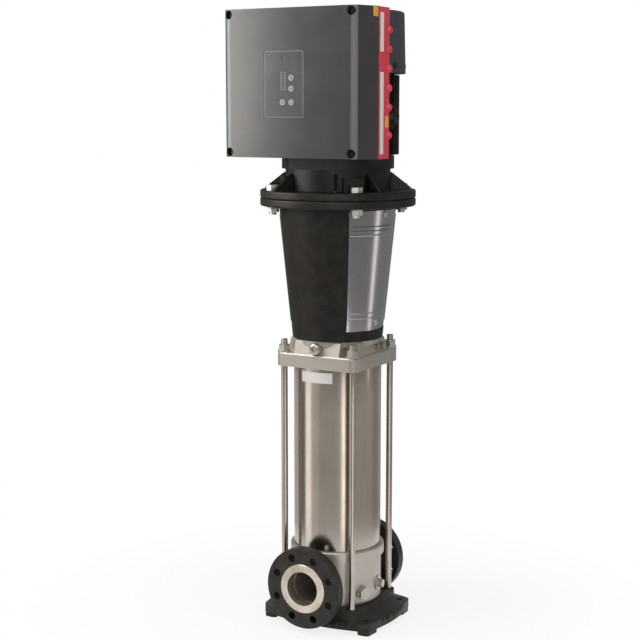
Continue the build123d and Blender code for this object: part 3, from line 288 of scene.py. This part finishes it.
class Finish(Enum):
    """Every finish on the pump, by the record's material slot or the trim that wears it."""

    BLACK_IRON = Casting("black_iron")
    FLANGE_IRON = Casting("flange_iron", (0.024, 0.022, 0.019), (0.038, 0.034, 0.029), (0.13, 0.12, 0.10), 520.0)
    CAST_STAINLESS = Metal("cast_stainless", (0.57, 0.53, 0.485), (0.50, 0.46, 0.415), rough=0.42, grain=700.0,
                           depth=0.00022, bare=0.8)
    ROLLED_STAINLESS = Metal("rolled_stainless", (0.53, 0.475, 0.42), (0.46, 0.41, 0.36), rough=0.20,
                             spread=0.06, grain=260.0, stretch=(1.0, 1.0, 0.04))
    POLISHED_STAINLESS = Metal("polished_stainless", (0.62, 0.61, 0.63), (0.55, 0.54, 0.56), rough=0.22,
                               spread=0.05, grain=320.0, stretch=(1.0, 1.0, 0.03))
    MACHINED_STAINLESS = Metal("machined_stainless", (0.74, 0.65, 0.55), (0.50, 0.43, 0.36), rough=0.30,
                               grain=500.0, bare=0.80, patches=26.0)
    ZINC_STEEL = Metal("zinc_steel", (0.66, 0.66, 0.62), (0.52, 0.52, 0.48), rough=0.36, bare=0.85)
    STAINLESS_FITTING = Metal("stainless_fitting", (0.57, 0.54, 0.50), (0.48, 0.45, 0.41), rough=0.33, bare=0.85)
    BRASS = Metal("brass", (0.55, 0.46, 0.30), (0.42, 0.34, 0.21), rough=0.34, bare=0.85)
    SHAFT_STEEL = Metal("shaft_steel", (0.56, 0.56, 0.57), (0.46, 0.46, 0.47), rough=0.24)
    # dark steel for screws and bolts; on the cover screws it is painted shade, coloured dark so that their deep
    # recesses read black
    DARK_SCREW = Metal("dark_screw", (0.05, 0.05, 0.052), (0.035, 0.035, 0.036), rough=0.42, bare=0.6)
    SEAL_CARBON = Moulding("seal_carbon", (0.02, 0.02, 0.02), (0.03, 0.03, 0.03))
    RUBBER = Moulding("rubber", (0.012, 0.012, 0.012), (0.02, 0.02, 0.02), rough=0.6)
    COUPLING_IRON = Casting("coupling_iron", (0.10, 0.10, 0.105), (0.14, 0.14, 0.145), (0.20, 0.20, 0.20), 600.0,
                            0.0003)
    LAMINATIONS = Moulding("laminations", (0.12, 0.11, 0.10), (0.16, 0.14, 0.12))
    BLUE_GREY_COWL = Moulding("blue_grey_cowl", (0.034, 0.039, 0.048), (0.041, 0.047, 0.058), rough=0.42)
    FAN_PLASTIC = Moulding("fan_plastic", (0.03, 0.03, 0.03), (0.04, 0.04, 0.04))
    BOX_ALLOY = Moulding("box_alloy", (0.03, 0.03, 0.032), (0.04, 0.04, 0.042))
    RED_PLASTIC = Moulding("red_plastic", (0.64, 0.045, 0.070), (0.58, 0.036, 0.058), rough=0.40)
    CHARCOAL_PLASTIC = Moulding("charcoal_plastic", (0.034, 0.033, 0.033), (0.042, 0.040, 0.039), rough=0.33,
                                depth=0.00012)
    PANEL_GLOSS = Moulding("panel_gloss", (0.075, 0.074, 0.073), (0.085, 0.084, 0.082), rough=0.26,
                           depth=0.00003, coat=0.25)
    LENS = Moulding("lens", (0.10, 0.10, 0.10), (0.12, 0.12, 0.12), rough=0.25, coat=0.4)
    SILVER_BUTTON = Moulding("silver_button", (0.34, 0.34, 0.34), (0.28, 0.28, 0.28), rough=0.34)
    PRINT = Moulding("pale_print", (0.30, 0.30, 0.30), (0.34, 0.34, 0.34), rough=0.4)
    DARK_PRINT = Moulding("dark_print", (0.03, 0.03, 0.03), (0.04, 0.04, 0.04), rough=0.4)
    BLANK_LABEL = Moulding("blank_label", (0.72, 0.70, 0.68), (0.66, 0.64, 0.62), rough=0.35, depth=0.00003)
    AMBER_LABEL = Moulding("amber_label", (0.80, 0.38, 0.02), (0.72, 0.33, 0.02), rough=0.4, depth=0.00003)

    @property
    def made(self) -> Any:
        """The finish's material, built once."""
        if self not in _MADE:
            _MADE[self] = self.value.material()
        return _MADE[self]


_MADE: dict[Finish, Any] = {}
SLOT_FINISH = {finish.value.name: finish for finish in Finish}


# ------------------------------------------------------------------ modelling helpers
def activate(piece: Any) -> None:
    """Makes one object the only selected and active one."""
    bpy.ops.object.select_all(action="DESELECT")
    piece.select_set(True)
    bpy.context.view_layer.objects.active = piece


def settle(piece: Any) -> None:
    """Puts an object's place, turn and scale into its mesh."""
    activate(piece)
    bpy.ops.object.transform_apply(location=True, rotation=True, scale=True)


def smooth(piece: Any, degrees: float = 35.0) -> None:
    """Shades an object smooth up to an angle."""
    activate(piece)
    bpy.ops.object.shade_smooth_by_angle(angle=radians(degrees))


def bevel(piece: Any, width: float, segments: int = 2) -> None:
    """Rounds an object's sharp edges with an applied bevel."""
    activate(piece)
    maker = piece.modifiers.new("edges", "BEVEL")
    maker.width = width
    maker.segments = segments
    maker.limit_method = "ANGLE"
    bpy.ops.object.modifier_apply(modifier=maker.name)


def slab(name: str, centre: Point, size: Point, edge: float) -> Any:
    """Thin block with rounded edges.

    Args:
        name: the piece's name.
        centre: its middle, in metres.
        size: its extent along X, Y and Z.
        edge: radius of its edges.

    Returns:
        The new object, with its place in its mesh.
    """
    bpy.ops.object.select_all(action="DESELECT")
    bpy.ops.mesh.primitive_cube_add(size=1.0, location=centre)
    piece = bpy.context.active_object
    piece.name = name
    piece.scale = size
    settle(piece)
    bevel(piece, edge)
    return piece


def join(pieces: Sequence[Any], name: str) -> Any:
    """Joins several objects into one with a name."""
    activate(pieces[0])
    for piece in pieces:
        piece.select_set(True)
    bpy.ops.object.join()
    joined = bpy.context.active_object
    joined.name = name
    return joined


def dress(piece: Any, finish: Finish, body: str) -> None:
    """Gives a piece its finish and lets it ride on a body.

    Args:
        piece: the object.
        finish: its surface.
        body: the CAD body that it moves with.
    """
    piece.data.materials.clear()
    piece.data.materials.append(finish.made)
    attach(piece, body)
    log.info("piece %s rides on %s", piece.name, body)


# ------------------------------------------------------------------ the CAD nodes
@dataclass
class PumpBody:
    """Dresses every CAD node in the finish of its material slot."""

    own_finish: tuple[tuple[str, str], ...] = (
        ("base_plate", "FLANGE_IRON"), ("suction_flange", "FLANGE_IRON"), ("discharge_flange", "FLANGE_IRON"),
        ("suction_collar", "MACHINED_STAINLESS"), ("discharge_collar", "MACHINED_STAINLESS"),
        # the cover screws wear the dark finish as painted shade for their deep recesses
        ("cover_screws", "DARK_SCREW"), ("cowl_screws", "DARK_SCREW"), ("vent_screw", "STAINLESS_FITTING"),
    )

    def build(self) -> None:
        """Assigns the finishes node by node."""
        slots = {part["node"]: part["material_slot"] for part in frame["record"]["subparts"]}
        own = dict(self.own_finish)
        for node, piece in frame["nodes"].items():
            finish = Finish[own[node]] if node in own else SLOT_FINISH[slots[node]]
            for position in range(max(1, len(piece.data.materials))):
                if position < len(piece.material_slots):
                    piece.material_slots[position].material = finish.made
                else:
                    piece.data.materials.append(finish.made)
            log.info("node %s wears %s", node, slots[node])


# ------------------------------------------------------------------ forms remade over the solids
def likeness(node: str, name: str) -> Any:
    """Free copy of a CAD node's mesh, with its loose triangles merged."""
    piece = bpy.data.objects.new(name, frame["nodes"][node].data.copy())
    bpy.context.collection.objects.link(piece)
    activate(piece)
    bpy.ops.object.mode_set(mode="EDIT")
    bpy.ops.mesh.select_all(action="SELECT")
    bpy.ops.mesh.remove_doubles(threshold=WELD)
    bpy.ops.object.mode_set(mode="OBJECT")
    return piece


def combine(piece: Any, tool: Any, operation: str) -> None:
    """Adds or cuts a tool object with a boolean and removes the tool."""
    activate(piece)
    maker = piece.modifiers.new("combine", "BOOLEAN")
    maker.operation = operation
    maker.object = tool
    maker.solver = "EXACT"
    bpy.ops.object.modifier_apply(modifier=maker.name)
    bpy.data.objects.remove(tool)


@dataclass
class BasePlate:
    """Base plate with its corners drawn in towards the anchor holes.

    Beyond the holes, side_keep is the share of the reach kept in the middle of a side and corner_keep at a corner.
    """

    hole_edge: tuple[float, float] = (129.0 * MM, 94.0 * MM)
    corner: tuple[float, float] = (144.0 * MM, 107.0 * MM)
    side_keep: tuple[float, float] = (0.88, 0.94)
    corner_keep: tuple[float, float] = (0.53, 0.61)

    def build(self) -> None:
        """Makes the plate over its node."""
        piece = likeness("base_plate", "drawn_in_base_plate")
        for vertex in piece.data.vertices:
            shares = [min(1.0, abs(vertex.co[axis]) / self.corner[axis]) for axis in (0, 1)]
            for axis in (0, 1):
                past = abs(vertex.co[axis]) - self.hole_edge[axis]
                if past > 0:
                    keep = self.side_keep[axis]
                    keep += (self.corner_keep[axis] - keep) * shares[1 - axis] ** 2
                    vertex.co[axis] = copysign(self.hole_edge[axis] + past * keep, vertex.co[axis])
        smooth(piece, SOLID_ANGLE)
        dress(piece, Finish.FLANGE_IRON, "pump")
        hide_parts("base_plate")


@dataclass
class RedFrame:
    """Red frame behind the cover: a hollow slab with small domes along both sides, saddled over the motor."""

    half_width: float = 163.0 * MM
    wall: float = 7.0 * MM
    edge: float = 2.5 * MM
    dome_radius: float = 9.3 * MM
    dome_sink: float = 2.5 * MM
    dome_setback: float = 3.0 * MM
    low_dome: float = 50.0 * MM
    first_dome: float = 109.0 * MM
    dome_pitch: float = 40.7 * MM
    row: int = 5
    saddle: float = 152.0 * MM
    flat_side: float = 112.2 * MM
    body_depth: float = 50.0 * MM
    front: float = -114.0 * MM
    inner_edge: float = 1.0 * MM
    past: float = 100.0 * MM    # how far cutting tools reach past the frame

    def build(self) -> None:
        """Makes the frame over its node."""
        low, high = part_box("front_cover")
        bottom, top = low[2], high[2]
        back = self.front + self.body_depth
        middle = (0.0, (self.front + back) / 2, (bottom + top) / 2)
        piece = slab("domed_frame", middle, (2 * self.half_width, self.body_depth, top - bottom), self.edge)
        inner = slab("hollow", (0.0, middle[1] - self.wall, middle[2]),
                     (2 * (self.half_width - self.wall), self.body_depth + self.wall, top - bottom - 2 * self.wall),
                     self.inner_edge)
        combine(piece, inner, "DIFFERENCE")
        combine(piece, self.domes(back - self.dome_setback, bottom), "UNION")
        combine(piece, self.motor_saddle(bottom, top), "DIFFERENCE")
        smooth(piece, SOLID_ANGLE)
        dress(piece, Finish.RED_PLASTIC, "pump")
        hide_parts("cable_frame")

    def domes(self, depth: float, bottom: float) -> Any:
        """Small round entries on both sides, one of them apart and low."""
        rises = [self.low_dome] + [self.first_dome + self.dome_pitch * step for step in range(self.row)]
        made = []
        for side in (-1, 1):
            for rise in rises:
                bpy.ops.object.select_all(action="DESELECT")
                centre = (side * (self.half_width - self.dome_sink), depth, bottom + rise)
                bpy.ops.mesh.primitive_uv_sphere_add(segments=40, ring_count=20, radius=self.dome_radius,
                                                     location=centre)
                dome = bpy.context.active_object
                settle(dome)
                made.append(dome)
        return join(made, "domes")

    def motor_saddle(self, bottom: float, top: float) -> Any:
        """Round space for the motor behind its flat side."""
        bpy.ops.object.select_all(action="DESELECT")
        middle = (top + bottom) / 2
        bpy.ops.mesh.primitive_cylinder_add(vertices=96, radius=self.saddle, depth=top - bottom + self.past,
                                            location=(0, 0, middle))
        space = bpy.context.active_object
        settle(space)
        ahead = slab("ahead", (0, -self.flat_side - self.past, middle),
                     (4 * self.saddle, 2 * self.past, top - bottom + 4 * self.past), self.inner_edge)
        combine(space, ahead, "DIFFERENCE")
        return space


@dataclass
class LeaningLug:
    """Lifting lug and its bolt, turned to the right rear of the box and leaning a little."""

    azimuth: float = 12.0
    turned: float = -7.0
    lean: float = -12.0
    pad_radius: float = 18.0 * MM
    pad_depth: float = 8.0 * MM
    pad_edge: float = 1.0 * MM

    def build(self) -> None:
        """Makes the lug and the bolt over their nodes, and the pad under them."""
        low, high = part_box("lifting_lug")
        middle = Matrix.Translation((0, 0, (low[2] + high[2]) / 2))
        turn = Matrix.Rotation(radians(self.turned), 4, "Z")
        back = Matrix.Rotation(radians(-self.azimuth), 4, "Z")
        lean = middle @ Matrix.Rotation(radians(self.lean), 4, "X") @ middle.inverted()
        seats = []
        for node, name, finish in (("lifting_lug", "leaning_lug", Finish.BLACK_IRON),
                                   ("lug_bolt", "leaning_lug_bolt", Finish.DARK_SCREW)):
            piece = likeness(node, name)
            piece.data.transform(back)
            seats.append(min(vertex.co.x for vertex in piece.data.vertices))
            piece.data.transform(turn @ lean)
            smooth(piece, SOLID_ANGLE)
            dress(piece, finish, "pump")
            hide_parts(node)
        seat = seats[0]
        bpy.ops.object.select_all(action="DESELECT")
        bpy.ops.mesh.primitive_cylinder_add(vertices=48, radius=self.pad_radius, depth=self.pad_depth,
                                            rotation=(0, pi / 2, 0),
                                            location=(seat - self.pad_depth / 2, 0, middle.translation.z))
        pad = bpy.context.active_object
        pad.name = "lug_pad"
        settle(pad)
        pad.data.transform(turn)
        bevel(pad, self.pad_edge)
        smooth(pad, SOLID_ANGLE)
        dress(pad, Finish.BLACK_IRON, "pump")


# ------------------------------------------------------------------ control panel
@dataclass
class ControlPanel:
    """Prints and light windows of the key panel."""

    line: float = 0.8 * MM
    lift: float = 0.25 * MM
    inset: float = 1.2 * MM
    corner: float = 4.5 * MM
    bar_columns: tuple[float, float] = (-16.8 * MM, -8.8 * MM)
    bar_low: float = 1212.0 * MM
    bar_pitch: float = 4.0 * MM
    bar_count: int = 10
    bar_size: tuple[float, float] = (4.2 * MM, 1.3 * MM)
    bar_edge: float = 0.15 * MM
    ring_radius: float = 2.6 * MM
    ring_line: float = 0.35 * MM
    start_bar: tuple[float, float] = (1.0 * MM, 5.0 * MM)
    start_edge: float = 0.2 * MM
    arrow_radius: tuple[float, float] = (3.0 * MM, 2.7 * MM)
    arrow_edge: float = 0.1 * MM

    def build(self) -> None:
        """Makes the outline, the level bars and the key marks."""
        low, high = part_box("control_panel")
        front = low[1]
        self.outline(low, high, front)
        self.bars(front)
        for node, mark in (("button_up", "up"), ("button_down", "down"), ("button_menu", "ring"),
                           ("button_start", "bar")):
            self.key_mark(node, mark)

    def outline(self, low: Point, high: Point, front: float) -> None:
        """Light line round the edge of the panel, with rounded corners."""
        middle = ((low[0] + high[0]) / 2, front, (low[2] + high[2]) / 2)
        bpy.ops.object.select_all(action="DESELECT")
        bpy.ops.mesh.primitive_plane_add(size=1.0, location=middle, rotation=(pi / 2, 0, 0))
        piece = bpy.context.active_object
        piece.name = "panel_outline"
        piece.scale = (high[0] - low[0] - 2 * self.inset, high[2] - low[2] - 2 * self.inset, 1.0)
        settle(piece)
        bpy.ops.object.mode_set(mode="EDIT")
        bpy.ops.mesh.select_all(action="SELECT")
        bpy.ops.mesh.bevel(offset=self.corner, segments=8, affect="VERTICES")
        bpy.ops.mesh.select_all(action="SELECT")
        bpy.ops.mesh.inset(thickness=self.line)
        bpy.ops.mesh.delete(type="FACE")
        bpy.ops.mesh.select_all(action="SELECT")
        bpy.ops.mesh.extrude_region_move(TRANSFORM_OT_translate={"value": (0, -self.lift, 0)})
        bpy.ops.mesh.select_all(action="SELECT")
        bpy.ops.mesh.normals_make_consistent(inside=False)
        bpy.ops.object.mode_set(mode="OBJECT")
        dress(piece, Finish.PRINT, "pump")

    def bars(self, front: float) -> None:
        """Two columns of level bars."""
        marks = []
        for column in self.bar_columns:
            for row in range(self.bar_count):
                marks.append(slab("bar", (column, front, self.bar_low + row * self.bar_pitch),
                                  (self.bar_size[0], 2 * self.lift, self.bar_size[1]), self.bar_edge))
        dress(join(marks, "level_bars"), Finish.PRINT, "pump")

    def key_mark(self, node: str, mark: str) -> None:
        """Generic mark on one key: an arrow, a ring or a bar."""
        low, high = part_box(node)
        x, z = (low[0] + high[0]) / 2, (low[2] + high[2]) / 2
        place = (x, low[1], z)
        bpy.ops.object.select_all(action="DESELECT")
        if mark == "ring":
            bpy.ops.mesh.primitive_torus_add(major_radius=self.ring_radius, minor_radius=self.ring_line,
                                             major_segments=32, minor_segments=8, location=place,
                                             rotation=(pi / 2, 0, 0))
            piece = bpy.context.active_object
            settle(piece)
        elif mark == "bar":
            piece = slab("mark", place, (self.start_bar[0], 2 * self.lift, self.start_bar[1]), self.start_edge)
        else:
            turn = 0.0 if mark == "up" else pi
            bpy.ops.mesh.primitive_cone_add(vertices=3, radius1=self.arrow_radius[0], radius2=self.arrow_radius[1],
                                            depth=2 * self.lift, location=place, rotation=(pi / 2, turn, 0))
            piece = bpy.context.active_object
            settle(piece)
            bevel(piece, self.arrow_edge)
        piece.name = node + "_mark"
        dress(piece, Finish.DARK_PRINT, node + "_key")


# ------------------------------------------------------------------ labels without print
@dataclass
class BlankLabels:
    """Bare label plates on the sleeve and on the drive box."""

    thick: float = 0.4 * MM
    sleeve_low: float = 566.0 * MM
    sleeve_high: float = 590.0 * MM
    sleeve_span: float = 46.0
    steps: int = 24
    stand: float = 0.1 * MM
    edge: float = 0.15 * MM
    strip_width: float = 15.0 * MM
    strip_back: float = 14.0 * MM
    strip_heights: tuple[tuple[float, float], ...] = ((1077.0 * MM, 1249.0 * MM), (1291.5 * MM, 1372.8 * MM))
    patches: tuple[tuple[float, float, float, float], ...] = (
        (-77.0 * MM, 1145.0 * MM, 15.0 * MM, 24.0 * MM), (-128.5 * MM, 1373.0 * MM, 22.0 * MM, 20.0 * MM),
    )

    def build(self) -> None:
        """Makes the sleeve label and the strips of the box."""
        self.sleeve_label()
        self.box_labels()

    def sleeve_label(self) -> None:
        """Curved plate under the pump head, spun about the pump axis."""
        _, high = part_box("outer_sleeve")
        radius = high[0] + self.thick / 2 + self.stand
        start = radians(-90 + self.sleeve_span / 2)
        height = self.sleeve_high - self.sleeve_low
        middle = (self.sleeve_high + self.sleeve_low) / 2
        bpy.ops.object.select_all(action="DESELECT")
        bpy.ops.mesh.primitive_plane_add(size=1.0, location=(0, 0, 0), rotation=(pi / 2, 0, 0))
        piece = bpy.context.active_object
        piece.scale = (self.thick, height, 1.0)
        settle(piece)
        for vertex in piece.data.vertices:
            across, _, up = vertex.co
            reach = radius + across
            vertex.co = Vector((reach * cos(start), reach * sin(start), middle + up))
        bpy.ops.object.mode_set(mode="EDIT")
        bpy.ops.mesh.select_all(action="SELECT")
        bpy.ops.mesh.spin(steps=self.steps, angle=radians(self.sleeve_span), center=(0, 0, 0), axis=(0, 0, 1))
        bpy.ops.mesh.select_all(action="SELECT")
        bpy.ops.mesh.remove_doubles(threshold=WELD)
        bpy.ops.mesh.normals_make_consistent(inside=False)
        bpy.ops.object.mode_set(mode="OBJECT")
        piece.name = "sleeve_label"
        smooth(piece)
        dress(piece, Finish.BLANK_LABEL, "pump")

    def box_labels(self) -> None:
        """Pale strips and amber patches on the right side of the box."""
        frame_low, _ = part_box("cable_frame")
        _, cover_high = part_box("front_cover")
        side = cover_high[0]
        strips = [slab("strip", (side, frame_low[1] + self.strip_back, (low + high) / 2),
                       (2 * self.thick, self.strip_width, high - low), self.edge)
                  for low, high in self.strip_heights]
        dress(join(strips, "side_strips"), Finish.BLANK_LABEL, "pump")
        patches = [slab("patch", (side, y, z), (2 * self.thick, width, height), self.edge)
                   for y, z, width, height in self.patches]
        dress(join(patches, "amber_patches"), Finish.AMBER_LABEL, "pump")


# ------------------------------------------------------------------ threads on stud ends
@dataclass
class StudThreads:
    """Thread crests on the free ends of the tie rods and flange bolts."""

    pitch: float = 2.0 * MM
    crest: float = 0.35 * MM
    rod_radius: float = 7.35 * MM
    bolt_radius: float = 8.0 * MM
    bolt_circle_radius: float = 150.0 * MM
    plain: float = 1.0 * MM         # plain length between a stud's face and its first crest

    def build(self) -> None:
        """Makes the crests of the tie rod ends and the bolt ends."""
        _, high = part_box("tie_rods")
        offset = high[0] - self.rod_radius
        _, nut_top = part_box("tie_rod_nuts")
        places = [(x * offset, y * offset) for x in (-1, 1) for y in (-1, 1)]
        self.crests("rod_threads", places, self.rod_radius, nut_top[2] + self.plain, high[2] - 2 * self.plain)
        bolt_low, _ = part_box("motor_bolts")
        nut_low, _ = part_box("motor_nuts")
        reach = self.bolt_circle_radius * cos(pi / 4)
        places = [(x * reach, y * reach) for x in (-1, 1) for y in (-1, 1)]
        self.crests("bolt_threads", places, self.bolt_radius, bolt_low[2] + self.plain,
                    nut_low[2] - self.plain / 2)

    def crests(self, name: str, places: list[tuple[float, float]], radius: float, low: float, high: float) -> None:
        """Rings of thread crest on each stud."""
        rings = []
        count = int((high - low) / self.pitch) + 1
        for x, y in places:
            for turn in range(count):
                bpy.ops.object.select_all(action="DESELECT")
                bpy.ops.mesh.primitive_torus_add(major_radius=radius, minor_radius=self.crest, major_segments=24,
                                                 minor_segments=6, location=(x, y, low + turn * self.pitch))
                ring = bpy.context.active_object
                settle(ring)
                rings.append(ring)
        threads = join(rings, name)
        smooth(threads, 60)
        dress(threads, Finish.ZINC_STEEL, "pump")


# ------------------------------------------------------------------ studio
@dataclass(frozen=True)
class Card:
    """Upright card round the pump that only reflections see; azimuths in degrees from +X."""

    name: str
    start: float
    end: float
    low: float
    high: float
    level: float

    def build(self, radius: float) -> None:
        """Makes the card as part of a drum of a radius about the pump axis."""
        steps = max(2, int((self.end - self.start) / 6))
        corners = []
        for step in range(steps + 1):
            azimuth = radians(self.start + (self.end - self.start) * step / steps)
            corners += [(radius * cos(azimuth), radius * sin(azimuth), height) for height in (self.low, self.high)]
        faces = [(2 * step, 2 * step + 2, 2 * step + 3, 2 * step + 1) for step in range(steps)]
        mesh = bpy.data.meshes.new(self.name)
        mesh.from_pydata(corners, [], faces)
        card = bpy.data.objects.new(self.name, mesh)
        bpy.context.collection.objects.link(card)
        shader = Shader(self.name)
        shader.finish({"Base Color": (0.0, 0.0, 0.0, 1.0), "Specular IOR Level": 0.0,
                       "Emission Color": (1.0, 0.97, 0.93, 1.0), "Emission Strength": self.level}, {})
        mesh.materials.append(shader.material)
        card.visible_camera = False
        card.visible_diffuse = False
        card.visible_shadow = False


@dataclass
class Studio:
    """Pale floor, soft lights, dark flags for the metal and the camera."""

    camera_place: Point = (1.59903, -2.80757, 1.17326)
    heading: float = 30.380
    pitch: float = -8.408
    lens: float = 80.53
    sensor: float = 36.0
    floor_tone: Colour = (0.93, 0.93, 0.93)
    shadow_reach: float = 0.9
    shadow_keep: float = 0.18
    soft_light: float = 0.45
    ring: float = 0.75
    cards: tuple[Card, ...] = (
        Card("low_back", 76, 186, 0.0, 0.46, 0.60),
        Card("low_left_edge", 186, 212, 0.0, 0.46, 0.18),
        Card("low_left_bright", 212, 230, 0.0, 0.46, 1.65),
        Card("low_front_warm", 230, 252, 0.0, 0.46, 0.62),
        Card("low_front", 252, 310, 0.0, 0.46, 0.47),
        Card("low_front_bright", 310, 326, 0.0, 0.46, 2.20),
        Card("low_right", 326, 400, 0.0, 0.46, 0.44),
        Card("low_right_edge", 40, 76, 0.0, 0.46, 0.32),
        Card("mid_back", 27, 200, 0.46, 0.98, 0.22),
        Card("mid_left", 200, 254, 0.46, 0.98, 0.68),
        Card("mid_front", 254, 379, 0.46, 0.98, 0.20),
        Card("mid_right_bright", 17, 27, 0.46, 0.98, 1.35),
        Card("high_back", -38, 203, 0.98, 2.00, 0.20),
        Card("high_left_bright", 203, 240, 1.00, 1.90, 9.5),
        Card("high_front_dark", 240, 278, 0.98, 2.00, 0.08),
        Card("high_front_bright", 278, 322, 0.98, 2.00, 3.6),
    )

    def build(self) -> None:
        """Sets up everything round the pump."""
        self.camera()
        self.world()
        self.floor()
        self.lamps()
        for card in self.cards:
            card.build(self.ring)

    def camera(self) -> None:
        """Camera at the height of the drive box, to the right of the suction port."""
        data = bpy.data.cameras.new("camera")
        data.lens = self.lens
        data.sensor_width = self.sensor
        data.clip_end = 50.0
        eye = bpy.data.objects.new("camera", data)
        eye.location = self.camera_place
        eye.rotation_euler = (radians(90 + self.pitch), 0.0, radians(self.heading))
        bpy.context.collection.objects.link(eye)
        bpy.context.scene.camera = eye

    def world(self) -> None:
        """White to the camera, a plain grey light to everything else."""
        world = bpy.data.worlds.new("studio")
        world.use_nodes = True
        tree = world.node_tree
        tree.nodes.clear()
        output = tree.nodes.new("ShaderNodeOutputWorld")
        path = tree.nodes.new("ShaderNodeLightPath")
        seen = tree.nodes.new("ShaderNodeMath")
        seen.operation = "MAXIMUM"
        tree.links.new(path.outputs["Is Camera Ray"], seen.inputs[0])
        tree.links.new(path.outputs["Is Glossy Ray"], seen.inputs[1])
        bright = tree.nodes.new("ShaderNodeBackground")
        bright.inputs["Color"].default_value = (1.0, 1.0, 1.0, 1.0)
        soft = tree.nodes.new("ShaderNodeBackground")
        soft.inputs["Color"].default_value = (1.0, 1.0, 1.0, 1.0)
        soft.inputs["Strength"].default_value = self.soft_light
        mix = tree.nodes.new("ShaderNodeMixShader")
        tree.links.new(seen.outputs[0], mix.inputs["Fac"])
        tree.links.new(soft.outputs[0], mix.inputs[1])
        tree.links.new(bright.outputs[0], mix.inputs[2])
        tree.links.new(mix.outputs[0], output.inputs["Surface"])
        bpy.context.scene.world = world

    def floor(self) -> None:
        """Large pale floor that looks white and keeps a soft shadow."""
        bpy.ops.object.select_all(action="DESELECT")
        bpy.ops.mesh.primitive_plane_add(size=30.0, location=(0, 0, -0.0005))
        ground = bpy.context.active_object
        ground.name = "floor"
        shader = Shader("pale_floor")
        shader.finish({"Base Color": (*self.floor_tone, 1.0), "Roughness": 0.9, "Specular IOR Level": 0.1}, {})
        tree = shader.tree
        path = tree.nodes.new("ShaderNodeLightPath")
        white = tree.nodes.new("ShaderNodeEmission")
        mix = tree.nodes.new("ShaderNodeMixShader")
        seen = Value(shader, path.outputs["Is Camera Ray"]).at_least(Value(shader, path.outputs["Is Glossy Ray"]))
        distance = shader.value("ShaderNodeVectorMath", {"operation": "LENGTH"}, {0: shader.place}, "Value")
        away = shader.ramp(distance, 0.3 * self.shadow_reach, self.shadow_reach)
        factor = seen * (away * self.shadow_keep + (1 - self.shadow_keep))
        tree.links.new(factor.socket, mix.inputs["Fac"])
        tree.links.new(shader.surface.outputs[0], mix.inputs[1])
        tree.links.new(white.outputs[0], mix.inputs[2])
        tree.links.new(mix.outputs[0], shader.output.inputs["Surface"])
        ground.data.materials.append(shader.material)

    def lamp(self, name: str, place: Point, aim: Point, size: tuple[float, float], power: float,
             colour: Colour) -> None:
        """Adds a soft rectangular lamp that looks at a point."""
        data = bpy.data.lights.new(name, "AREA")
        data.shape = "RECTANGLE"
        data.size, data.size_y = size
        data.energy = power
        data.color = colour
        light = bpy.data.objects.new(name, data)
        light.location = place
        light.rotation_euler = (Vector(aim) - Vector(place)).to_track_quat("-Z", "Y").to_euler()
        light.visible_glossy = False
        bpy.context.collection.objects.link(light)

    def lamps(self) -> None:
        """Key from the left front, fill from the right and a soft top light."""
        self.lamp("key", (-2.4, -2.6, 2.4), (0, 0, 0.8), (1.6, 2.2), 62.0, (1.0, 0.97, 0.93))
        self.lamp("fill", (3.2, -0.6, 1.6), (0, 0, 0.8), (1.2, 2.2), 20.0, (0.90, 0.95, 1.0))
        self.lamp("top", (0.2, -0.8, 3.6), (0, 0, 0.8), (2.0, 2.0), 34.0, (1.0, 1.0, 1.0))


def main() -> None:
    """Builds the pump's looks in order."""
    logging.basicConfig(level=logging.INFO, format="%(name)s: %(message)s")
    bpy.context.scene.view_settings.view_transform = "Standard"
    for maker in (Studio(), PumpBody(), BasePlate(), RedFrame(), LeaningLug(), ControlPanel(), BlankLabels(),
                  StudThreads()):
        maker.build()


if __name__ == "__main__":
    main()
